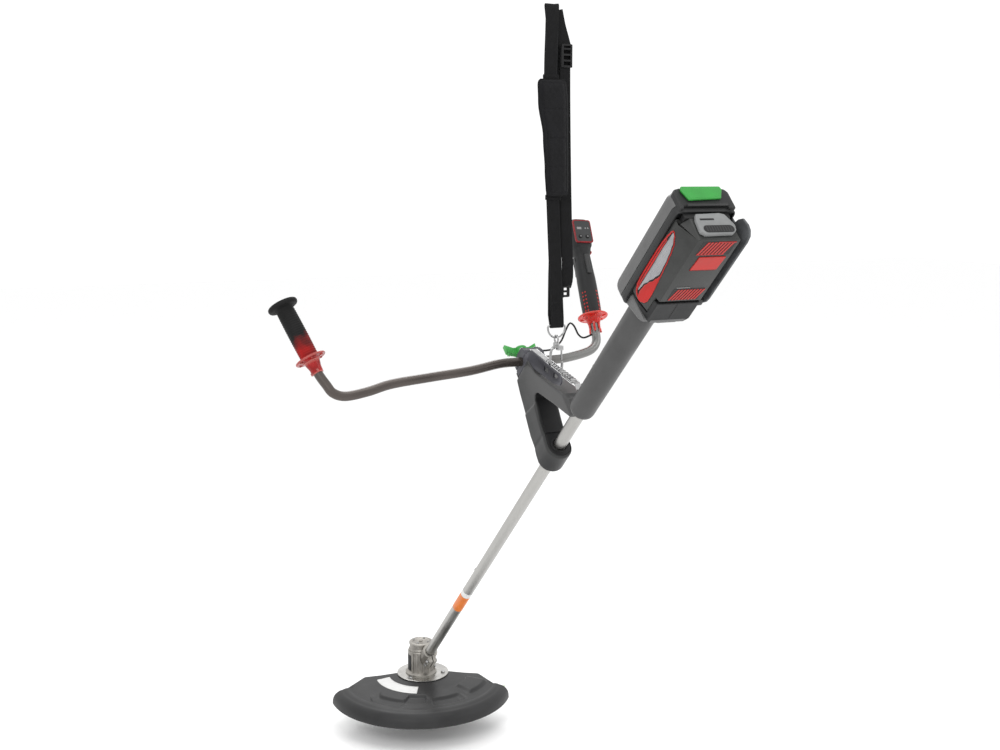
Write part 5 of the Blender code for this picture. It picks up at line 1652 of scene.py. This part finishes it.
def battery_face():
    """The red vents and plate on the battery, and the stripe on its left."""
    face = FACE_LOW
    recess = [
        rounded_block((-0.0290, face - 0.0004, 1.7205), (0.0345, face + 0.0020, 1.7530), 0.0004, 1),
        rounded_block((-0.0280, face - 0.0004, 1.6065), (0.0320, face + 0.0020, 1.6365), 0.0004, 1)
    ]
    piece("vent_beds", joined(*recess), "battery", BLACK, SHAFT)
    upper = [
        slanted(-0.0262 + 0.0066 * step, 1.7215, 0.0300, 0.0040, face - 0.0010, face + 0.0006)
        for step in range(8)
    ]
    upper += [
        rounded_block((-0.0280, face - 0.0010, 1.7210), (0.0240, face + 0.0006, 1.7228), 0.0003, 1),
        rounded_block((0.0000, face - 0.0010, 1.7500), (0.0340, face + 0.0006, 1.7525), 0.0003, 1)
    ]
    lower = [
        slanted(-0.0250 + 0.0062 * step, 1.6080, 0.0265, 0.0034, face - 0.0010, face + 0.0006)
        for step in range(9)
    ]
    piece("vent_bars", joined(*upper, *lower), "battery", RED, SHAFT, bevel=0.0004)
    plate = prism(
        [(-0.0215, 1.6850), (0.0290, 1.6850), (0.0320, 1.7165), (-0.0190, 1.7165)], face - 0.0016,
        face + 0.0010, plan_view
    )
    piece("red_plate", plate, "battery", RED, SHAFT, bevel=0.0008)
    line = rounded_block((-0.0220, face - 0.0010, 1.6828), (0.0285, face + 0.0004, 1.6848), 0.0003, 1)
    piece("silver_line", line, "battery", RED_DARK, SHAFT)
    low_line = rounded_block((-0.0240, face - 0.0008, 1.6385), (0.0020, face + 0.0004, 1.6402), 0.0003, 1)
    piece("lower_line", low_line, "battery", SILVER_FILM, SHAFT)

    side_stripe(-1, "left")


def side_band(side, edges, lift, thick, bulge=0.0):
    """A closed strip on the battery's side, between two edge heights given at stations along it."""
    shape = bmesh.new()
    loops = []
    steps = 10
    first, last = edges[0][0], edges[-1][0]
    count = max(6, int((last - first) / 0.002))
    for station in range(count + 1):
        along = first + (last - first) * station / count
        high, low = between(edges, along)
        outer, inner = [], []
        for step in range(steps + 1):
            share = step / steps
            above = high + (low - high) * share
            across = 0.0530 - max(0.0, -0.0180 - above) * 0.2857
            crown = bulge * (1 - (2 * share - 1) ** 4)
            outer.append(shape.verts.new((side * (across + lift + crown), above, along)))
            inner.append(shape.verts.new((side * (across - thick), above, along)))
        loops.append(outer + inner[::-1])
    for here, there in zip(loops, loops[1:]):
        bridge(shape, here, there)
    shape.faces.new(loops[0])
    shape.faces.new(list(reversed(loops[-1])))
    bmesh.ops.recalc_face_normals(shape, faces=shape.faces)
    return shape


STRIPE_EDGES = [
    (1.5700, -0.0240, -0.0330), (1.5740, -0.0150, -0.0385), (1.5800, -0.0085, -0.0415),
    (1.5900, -0.0048, -0.0425), (1.6030, -0.0036, -0.0425), (1.6060, -0.0034, -0.0420),
    (1.6120, -0.0034, -0.0410), (1.6450, -0.0034, -0.0385), (1.6700, -0.0036, -0.0360),
    (1.6900, -0.0050, -0.0335), (1.7080, -0.0075, -0.0305), (1.7220, -0.0105, -0.0240),
    (1.7290, -0.0140, -0.0185),
]


def side_stripe(side, word):
    """The knurled silver band, its red rim and the red wedge. Only the left side has room for it."""
    bed = side_band(side, STRIPE_EDGES, 0.0004, 0.0010)
    piece(f"stripe_bed_{word}", bed, "battery", BLACK, SHAFT)
    silver = [
        (1.5840, -0.0150, -0.0170), (1.6000, -0.0142, -0.0190), (1.6150, -0.0142, -0.0245),
        (1.6300, -0.0145, -0.0300), (1.6450, -0.0145, -0.0345), (1.6700, -0.0142, -0.0330),
        (1.6900, -0.0142, -0.0305), (1.7080, -0.0148, -0.0270), (1.7220, -0.0155, -0.0215),
        (1.7265, -0.0165, -0.0185)
    ]
    piece(
        f"stripe_band_{word}", side_band(side, silver, 0.0006, 0.0004, 0.0010), "battery", KNURLED, SHAFT,
    )
    rim = [
        (along, high, high - width)
        for (along, high, low), width in zip(
            STRIPE_EDGES,
            (
                0.0050, 0.0060, 0.0058, 0.0048, 0.0040, 0.0040, 0.0040, 0.0040, 0.0040, 0.0038, 0.0036,
                0.0032, 0.0030
            )
        )
    ]
    second = [
        (1.5850, -0.0110, -0.0135), (1.6000, -0.0092, -0.0128), (1.6450, -0.0088, -0.0130),
        (1.6800, -0.0094, -0.0128), (1.7050, -0.0115, -0.0135)
    ]
    piece(
        f"stripe_line_{word}", side_band(side, second, 0.0006, 0.0004, 0.0004), "battery", RED, SHAFT,
    )
    trailing = [
        (along, low + width, low)
        for (along, high, low), width in zip(
            STRIPE_EDGES[6:], (0.0016, 0.0014, 0.0012, 0.0012, 0.0012, 0.0014, 0.0016)
        )
    ]
    wedge = [
        (1.5702, -0.0242, -0.0328), (1.5760, -0.0215, -0.0395), (1.5840, -0.0200, -0.0420),
        (1.6000, -0.0215, -0.0424), (1.6120, -0.0255, -0.0414), (1.6260, -0.0318, -0.0400),
        (1.6420, -0.0368, -0.0388)
    ]
    shapes = [
        side_band(side, rim, 0.0008, 0.0004, 0.0008), side_band(side, trailing, 0.0008, 0.0004, 0.0004),
        side_band(side, wedge, 0.0010, 0.0004, 0.0012)
    ]
    piece(f"stripe_rim_{word}", joined(*shapes), "battery", RED, SHAFT)


def latch_details():
    """The grey hood over the battery's catch, with a dark slot and a ribbed finger window."""
    outline = [
        (-0.0297, -0.0122), (0.0153, -0.0105), (0.0250, -0.0132), (0.0352, -0.0366), (0.0330, -0.0470),
        (0.0245, -0.0540), (-0.0280, -0.0550), (-0.0355, -0.0490), (-0.0337, -0.0243)
    ]
    hood = prism(outline, 1.7583, 1.7655, rear_view)
    piece(
        "latch_hood", hood, "battery_latch", LATCH_GREY, SHAFT, bevel=0.0016,
        replaces=["battery_latch"]
    )
    window = [(x + 0.0005, above - 0.0445) for x, above in rounded_outline(0.0285, 0.0072, 0.0068)]
    piece("latch_window", prism(window, 1.7640, 1.7662, rear_view), "battery_latch", BLACK, SHAFT)
    ribs = [
        rounded_block((x - 0.0009, -0.0500, 1.7650), (x + 0.0009, -0.0390, 1.7664), 0.0004, 1)
        for x in [-0.0220 + 0.0050 * k for k in range(10)]
    ]
    piece("latch_ribs", joined(*ribs), "battery_latch", CHARCOAL, SHAFT)
    slot = rounded_block((-0.0270, -0.0262, 1.7640), (0.0000, -0.0222, 1.7660), 0.0008, 2)
    piece("latch_slot", slot, "battery_latch", BLACK, SHAFT)


def button_details():
    """The green release button, its flap with a shallow dish, and its ribs."""
    side = [
        (1.7515, 0.0300), (1.7660, 0.0284), (1.7692, 0.0300), (1.7700, 0.0340), (1.7692, 0.0420),
        (1.7668, 0.0450), (1.7600, 0.0466), (1.7515, 0.0466)
    ]
    cap = prism(side, -BUTTON_HALF + 0.0006, BUTTON_HALF - 0.0006, side_view)
    cap = piece(
        "button_cap", cap, "release_button", GREEN, SHAFT, bevel=0.0016,
        replaces=["release_button"]
    )
    flap = [
        (-0.0405, 0.0335), (-0.0370, 0.0415), (0.0370, 0.0415), (0.0388, 0.0345), (0.0295, 0.0155),
        (-0.0330, 0.0125)
    ]
    piece(
        "button_flap", prism(flap, 1.7674, 1.7716, rear_view), "release_button", GREEN, SHAFT,
        bevel=0.0014
    )
    fold = [
        (-0.0360, 0.0310), (-0.0335, 0.0365), (0.0325, 0.0365), (0.0335, 0.0310), (0.0265, 0.0185),
        (-0.0295, 0.0160)
    ]
    piece(
        "button_dish", prism(fold, 1.7712, 1.7720, rear_view), "release_button", GREEN, SHAFT,
        bevel=0.0004
    )
    lines = [
        rounded_block(
            (-0.0200, 0.0460, 1.7540 + 0.0028 * k), (0.0200, 0.0472, 1.7552 + 0.0028 * k), 0.0002, 1
        )
        for k in range(4)
    ]
    piece("button_ribs", joined(*lines), "release_button", GREEN, SHAFT)


def knob_details():
    """The cap and the ribs of the wing knob."""
    ribs = []
    for side in (-1, 1):
        for k in range(4):
            x = side * (0.0205 + 0.0036 * k)
            ribs.append(
                rounded_block((x - 0.0006, 0.2360, 1.0515), (x + 0.0006, 0.2500, 1.0625), 0.0003, 1)
            )
    cap = aimed(
        turned([(0, 0.2526), (0.0088, 0.2526), (0.0092, 0.2532), (0.0080, 0.2540), (0, 0.2542)], 40),
        Vector((0, 1, 0)), (0, 0, 1.0570)
    )
    piece("knob_cap", cap, "clamp_knob", GREEN, SHAFT)
    piece("knob_ribs", joined(*ribs), "clamp_knob", GREEN, SHAFT)


# ---- shoulder strap, buckles and hook ----
STRAP_WIDTH = 0.0280
STRAP_THICK = 0.0024
STRAP_TOP = 0.7020
REAR_STRAND = [
    (-0.0025, -0.0080, 0.1050), (-0.0100, -0.0125, 0.2000), (-0.0190, -0.0130, 0.3900),
    (-0.0230, -0.0130, 0.5600), (-0.0200, -0.0110, 0.6500)
]
FOLD = [
    (-0.0170, -0.0070, STRAP_TOP - 0.008), (-0.0150, 0.0, STRAP_TOP), (-0.0120, 0.0070, STRAP_TOP - 0.008)
]
FRONT_STRAND = [
    (-0.0050, 0.0110, 0.6500), (0.0050, 0.0130, 0.5600), (0.0070, 0.0130, 0.3900),
    (0.0020, 0.0125, 0.2000), (-0.0010, 0.0080, 0.1050)
]
LOWER_TURN = [
    (0.0, 0.0042, 0.0870), (0.0, 0.0030, 0.0812), (0.0, 0.0, 0.0798), (0.0, -0.0030, 0.0812),
    (0.0, -0.0042, 0.0870)
]
PAD_EDGES = [
    (0.3400, -0.0340, 0.0130), (0.3900, -0.0370, 0.0128), (0.4500, -0.0410, 0.0120),
    (0.5200, -0.0520, 0.0110), (0.5600, -0.0535, 0.0070),
]
PAD_BACK = -0.0150
PAD_FRONT = -0.0246
PAD_MIDDLE = (PAD_BACK + PAD_FRONT) / 2


def webbing_strap():
    """The closed loop of webbing and its stitching."""
    points = [Vector(p) for p in REAR_STRAND + FOLD + FRONT_STRAND]
    loop = smooth_path(points, 0.0040) + smooth_path(
        [points[-1]] + [Vector(p) for p in LOWER_TURN] + [points[0]], 0.0015
    )[1:-1]
    band = swept(loop, lambda share: oval(STRAP_WIDTH / 2, STRAP_THICK / 2, 9.0, 36), ACROSS, closed=True)
    piece("strap_webbing", band, "strap", WEBBING, WORLD, replaces=["strap_loop"])
    rear = smooth_path(REAR_STRAND, 0.0060)
    front = smooth_path(FRONT_STRAND, 0.0060)
    threads = []
    for edge in (-0.0118, 0.0118):
        threads += stitches([p + Vector((edge, -0.0014, 0)) for p in rear], 0.0034)
        threads += stitches([p + Vector((edge, 0.0014, 0)) for p in front], 0.0034)
    box = [
        (-0.0100, 0.1090), (0.0090, 0.1090), (0.0090, 0.1310), (-0.0100, 0.1310), (-0.0100, 0.1090),
        (0.0090, 0.1310)
    ]
    threads += stitches([Vector((x - 0.0010, -0.0098 - (z - 0.105) * 0.047, z)) for x, z in box], 0.0030)
    piece("strap_stitching", joined(*threads), "strap", STITCH, WORLD)


def stitches(points, pitch):
    """Short raised threads along a line."""
    made = []
    for here, there in zip(points, points[1:]):
        length = (there - here).length
        count = max(1, round(length / pitch))
        for step in range(count):
            middle = here.lerp(there, (step + 0.5) / count)
            thread = bmesh.new()
            bmesh.ops.create_icosphere(
                thread, subdivisions=1, radius=1,
                matrix=Matrix.Diagonal((0.00035, 0.00035, pitch * 0.34, 1))
            )
            made.append(aimed(thread, there - here, middle))
    return made


def pad_surface(share_up, share_over):
    """The pad's plan at a share of its height and width, and how full it is there."""
    low, high = PAD_EDGES[0][0], PAD_EDGES[-1][0]
    height = low + (high - low) * share_up
    left, right = between(PAD_EDGES, height)
    ends = min(1.0, (share_up * (high - low)) / 0.012, ((1 - share_up) * (high - low)) / 0.012)
    pull = 0.0050 * (1 - math.sqrt(max(0.0, 1 - (1 - ends) ** 2)))
    across = (left + pull) + (right - left - 2 * pull) * share_over
    from_side = min(share_over, 1 - share_over) * (right - left)
    from_end = min(share_up, 1 - share_up) * (high - low)
    near = min(from_side, from_end)
    full = math.sqrt(
        min(1.0, max(0.0, from_side / 0.012)) ** 0.9 * min(1.0, max(0.0, from_end / 0.014)) ** 0.9
    )
    full = min(1.0, full)
    seam = math.exp(-(((near - 0.0062) / 0.0011) ** 2))
    channel = 0.0
    for place in (0.25, 0.5, 0.75):
        channel = max(channel, math.exp(-(((share_up - place) * (high - low) / 0.0014) ** 2)))
    channel *= ease(from_side, 0.0055, 0.0075)
    return across, height, full, 0.30 * seam + 0.26 * channel


def shoulder_pad():
    """The crowned cushion of the shoulder pad."""
    rows_up, rows_over = 130, 34
    shape = bmesh.new()
    fronts, backs = [], []
    for i in range(rows_up + 1):
        front_row, back_row = [], []
        for j in range(rows_over + 1):
            across, height, full, sunk = pad_surface(i / rows_up, j / rows_over)
            half = (PAD_BACK - PAD_FRONT) / 2
            swell = 0.12 + 0.88 * full
            ripple = 0.00018 * math.sin(height * 300) * math.sin(across * 420)
            front = PAD_MIDDLE - half * swell * (1 - sunk) + ripple
            front_row.append(shape.verts.new((across, front, height)))
            edge = i in (0, rows_up) or j in (0, rows_over)
            back_row.append(
                front_row[-1] if edge else shape.verts.new(
                    (across, PAD_MIDDLE + half * swell * (1 - 0.4 * sunk), height)
                )
            )
        fronts.append(front_row)
        backs.append(back_row)
    for grid, flip in ((fronts, False), (backs, True)):
        for lower, upper in zip(grid, grid[1:]):
            for j in range(rows_over):
                corners = (lower[j], lower[j + 1], upper[j + 1], upper[j])
                shape.faces.new(tuple(reversed(corners)) if flip else corners)
    pad = piece(
        "shoulder_cushion", shape, "strap", PAD_CLOTH, WORLD, sharp=70,
        replaces=["shoulder_pad"]
    )


def pad_piping():
    """A cord of piping sewn round the edge of the pad."""
    outline = []
    for i in range(61):
        across, height, _, _ = pad_surface(i / 60, 0.0)
        outline.append(Vector((across, PAD_MIDDLE, height)))
    for j in range(1, 12):
        across, height, _, _ = pad_surface(1.0, j / 12)
        outline.append(Vector((across, PAD_MIDDLE, height)))
    for i in range(60, -1, -1):
        across, height, _, _ = pad_surface(i / 60, 1.0)
        outline.append(Vector((across, PAD_MIDDLE, height)))
    for j in range(11, 0, -1):
        across, height, _, _ = pad_surface(0.0, j / 12)
        outline.append(Vector((across, PAD_MIDDLE, height)))
    piping = swept(outline, lambda share: oval(0.0014, 0.0014, sides=14), FORWARD, closed=True)
    piece("pad_piping", piping, "strap", WEBBING, WORLD)


def pad_stitching():
    """A line of stitches inside each long edge of the pad."""
    threads = []
    for over in (0.0, 1.0):
        seam_line = []
        for i in range(4, 57):
            across, height, _, _ = pad_surface(i / 60, over)
            inward = 0.0062 if over == 0.0 else -0.0062
            seam_line.append(Vector((across + inward, PAD_FRONT + 0.0022, height)))
        threads += stitches(seam_line, 0.0034)
    piece("pad_stitching", joined(*threads), "strap", STITCH, WORLD)


def pad_loops():
    """The two loops that hold the pad on the strap."""
    sleeve_shape = []
    for low, high in ((0.3320, 0.3420), (0.5580, 0.5700)):
        centre = between(
            [(0.33, -0.0165), (0.39, -0.0190), (0.56, -0.0230), (0.60, -0.0225)], (low + high) / 2
        )[0]
        sleeve_shape.append(
            rounded_block((centre - 0.0165, -0.0165, low), (centre + 0.0165, -0.0112, high), 0.0014, 3)
        )
    piece("pad_loops", joined(*sleeve_shape), "strap", WEBBING, WORLD)


def ladder_buckle(centre, half_wide, half_deep, low, high, bars):
    """A moulded buckle: a frame with cross bars that the webbing is laced through."""
    shapes = []
    for side in (-1, 1):
        rail = rounded_block(
            (centre.x + side * half_wide - 0.0022, centre.y - half_deep, low),
            (centre.x + side * half_wide + 0.0022, centre.y + half_deep, high), 0.0014, 3
        )
        shapes.append(rail)
    for height in bars:
        bar = rounded_block(
            (centre.x - half_wide, centre.y - half_deep, height - 0.0021),
            (centre.x + half_wide, centre.y + half_deep, height + 0.0021), 0.0012, 3
        )
        shapes.append(bar)
    return joined(*shapes)


def buckles():
    """The two buckles, and the runs of webbing that are laced through them."""
    adjuster = ladder_buckle(
        Vector((0.0170, 0.0005, 0)), 0.0090, 0.0036, 0.1400, 0.1640, (0.1416, 0.1510, 0.1604)
    )
    piece("adjuster_frame", adjuster, "strap", BLACK, WORLD, replaces=["strap_adjuster"])
    keeper = rounded_block((0.0010, -0.0105, 0.1395), (0.0110, 0.0015, 0.1625), 0.0010, 2)
    piece("adjuster_keeper", keeper, "strap", WEBBING, WORLD)
    ladder = ladder_buckle(
        Vector((0.0160, -0.0020, 0)), 0.0095, 0.0050, 0.5850, 0.6290,
        (0.5870, 0.5980, 0.6090, 0.6200, 0.6275)
    )
    piece("upper_buckle", ladder, "strap", BLACK, WORLD)
    backing = rounded_block((0.0085, 0.0004, 0.5880), (0.0235, 0.0016, 0.6270), 0.0005, 2)
    piece("buckle_backing", backing, "strap", WEBBING, WORLD)
    route = [
        (0.0195, 0.0, 0.1600), (0.0218, -0.0022, 0.1720), (0.0220, -0.0040, 0.1950),
        (0.0190, -0.0045, 0.2600), (0.0155, -0.0042, 0.4000), (0.0135, -0.0040, 0.5200),
        (0.0140, -0.0020, 0.5900)
    ]
    second = swept(
        smooth_path(route, 0.006), lambda share: oval(0.0126 - 0.0016 * share, 0.0012, 9.0, 28), ACROSS
    )
    piece("strap_second_run", second, "strap", WEBBING, WORLD)
    end_loop = [
        (0.0200, 0.0022, 0.1600), (0.0252, 0.0030, 0.1690), (0.0272, 0.0036, 0.1850),
        (0.0255, 0.0040, 0.2150), (0.0190, 0.0040, 0.2450)
    ]
    tail = swept(smooth_path(end_loop, 0.004), lambda share: oval(0.0095, 0.0011, 9.0, 28), ACROSS)
    piece("strap_tail", tail, "strap", WEBBING, WORLD)
    top_run = smooth_path(
        [
            (0.0140, -0.0020, 0.6240), (0.0085, -0.0020, 0.6420), (0.0020, -0.0010, 0.6640),
            (-0.0040, 0.0, 0.6920)
        ],
        0.006
    )
    upper = swept(top_run, lambda share: oval(0.0125, 0.0011, 9.0, 28), ACROSS)
    piece("strap_top_run", upper, "strap", WEBBING, WORLD)


D_BAR = 0.0840


def d_ring():
    """The D-ring: a half circle of wire closed by a straight bar."""
    half = 0.0190
    ring_path = []
    for step in range(33):
        turn = math.pi * step / 32
        ring_path.append(Vector((half * math.cos(turn), 0, 0.0786 - half * math.sin(turn))))
    ring_path += [
        Vector((-half, 0, 0.0806)), Vector((-half + 0.0006, 0, 0.0828)),
        Vector((-half + 0.0026, 0, D_BAR))
    ]
    ring_path += [
        Vector((-0.008, 0, D_BAR)), Vector((0, 0, D_BAR)), Vector((0.008, 0, D_BAR)),
        Vector((half - 0.0026, 0, D_BAR)), Vector((half - 0.0006, 0, 0.0828)), Vector((half, 0, 0.0806))
    ]
    wire = swept(ring_path, lambda share: oval(0.0019, 0.0019, sides=20), FORWARD, closed=True)
    piece("d_ring_wire", wire, "strap", STEEL, WORLD, replaces=["d_ring"])


def snap_hook():
    """The hook that carries the tool, its swivel barrel and eye, and the cheeks that hold the gate."""
    route = [
        (-0.0020, 0, 0.0440), (-0.0105, 0, 0.0350), (-0.0135, 0, 0.0180), (-0.0138, 0, 0.0040),
        (-0.0110, 0, -0.0050), (0, 0, -0.0085)
    ]
    route += [(0.0110, 0, -0.0050), (0.0135, 0, 0.0040), (0.0130, 0, 0.0090)]
    claw = swept(
        smooth_path(route, 0.0012),
        lambda share: oval(0.0027 - 0.0006 * ease(share, 0.8, 1.0), 0.0027, sides=20), FORWARD
    )
    barrel = turned(
        [
            (0, 0.0385), (0.0052, 0.0385), (0.0062, 0.0395), (0.0062, 0.0410), (0.0054, 0.0418),
            (0.0054, 0.0432), (0.0062, 0.0440), (0.0062, 0.0490), (0.0052, 0.0500), (0.0022, 0.0502),
            (0, 0.0502),
        ],
        40
    )
    eye = [
        (0.0075 + 0.0018 * math.cos(math.pi * k / 8), 0.0018 * math.sin(math.pi * k / 8))
        for k in range(16)
    ]
    eye = aimed(turned(eye, 40), ACROSS, (0, 0, 0.0562))
    cheeks = [
        rounded_block(
            (0.0010, side * 0.0033 - 0.0008, 0.0335), (0.0145, side * 0.0033 + 0.0008, 0.0425), 0.0006, 2
        )
        for side in (-1, 1)
    ]
    pin = aimed(
        turned([(0, -0.0045), (0.0013, -0.0045), (0.0013, 0.0045), (0, 0.0045)], 16), FORWARD,
        (0.0118, 0, 0.0375)
    )
    piece(
        "snap_hook", joined(claw, barrel, eye, pin, *cheeks), "strap", STEEL, WORLD,
        replaces=["hook_body"]
    )


def gate_bar():
    """The sprung bar that closes the mouth of the hook."""
    gate = aimed(
        turned(
            [
                (0, 0.0), (0.0019, 0.0), (0.0022, 0.0008), (0.0022, 0.0040), (0.0018, 0.0050),
                (0.0018, 0.0240), (0.0014, 0.0258), (0, 0.0260)
            ],
            24
        ),
        -UP, (0.0118, 0, 0.0395)
    )
    piece("gate_bar", gate, "hook_gate", STEEL, WORLD, replaces=["hook_gate"])


def build():
    """Builds the studio and the cords, dresses the CAD nodes, then makes every other piece."""
    studio()
    cords()
    dress_cad()
    guard()
    guard_label()
    gear_case_body()
    gear_case_lid()
    clamp_nuts()
    shaft_details()
    handlebar()
    left_grip()
    right_grip()
    grip_dots()
    display()
    grip_side()
    right_hub()
    yoke()
    yoke_gap_shade_and_foot()
    yoke_screws()
    clamp_details()
    cable_clips()
    housing()
    housing_end()
    battery_shelf()
    housing_wing()
    cover_fittings()
    battery()
    battery_face()
    latch_details()
    button_details()
    knob_details()
    webbing_strap()
    shoulder_pad()
    pad_piping()
    pad_stitching()
    pad_loops()
    buckles()
    d_ring()
    snap_hook()
    gate_bar()


build()
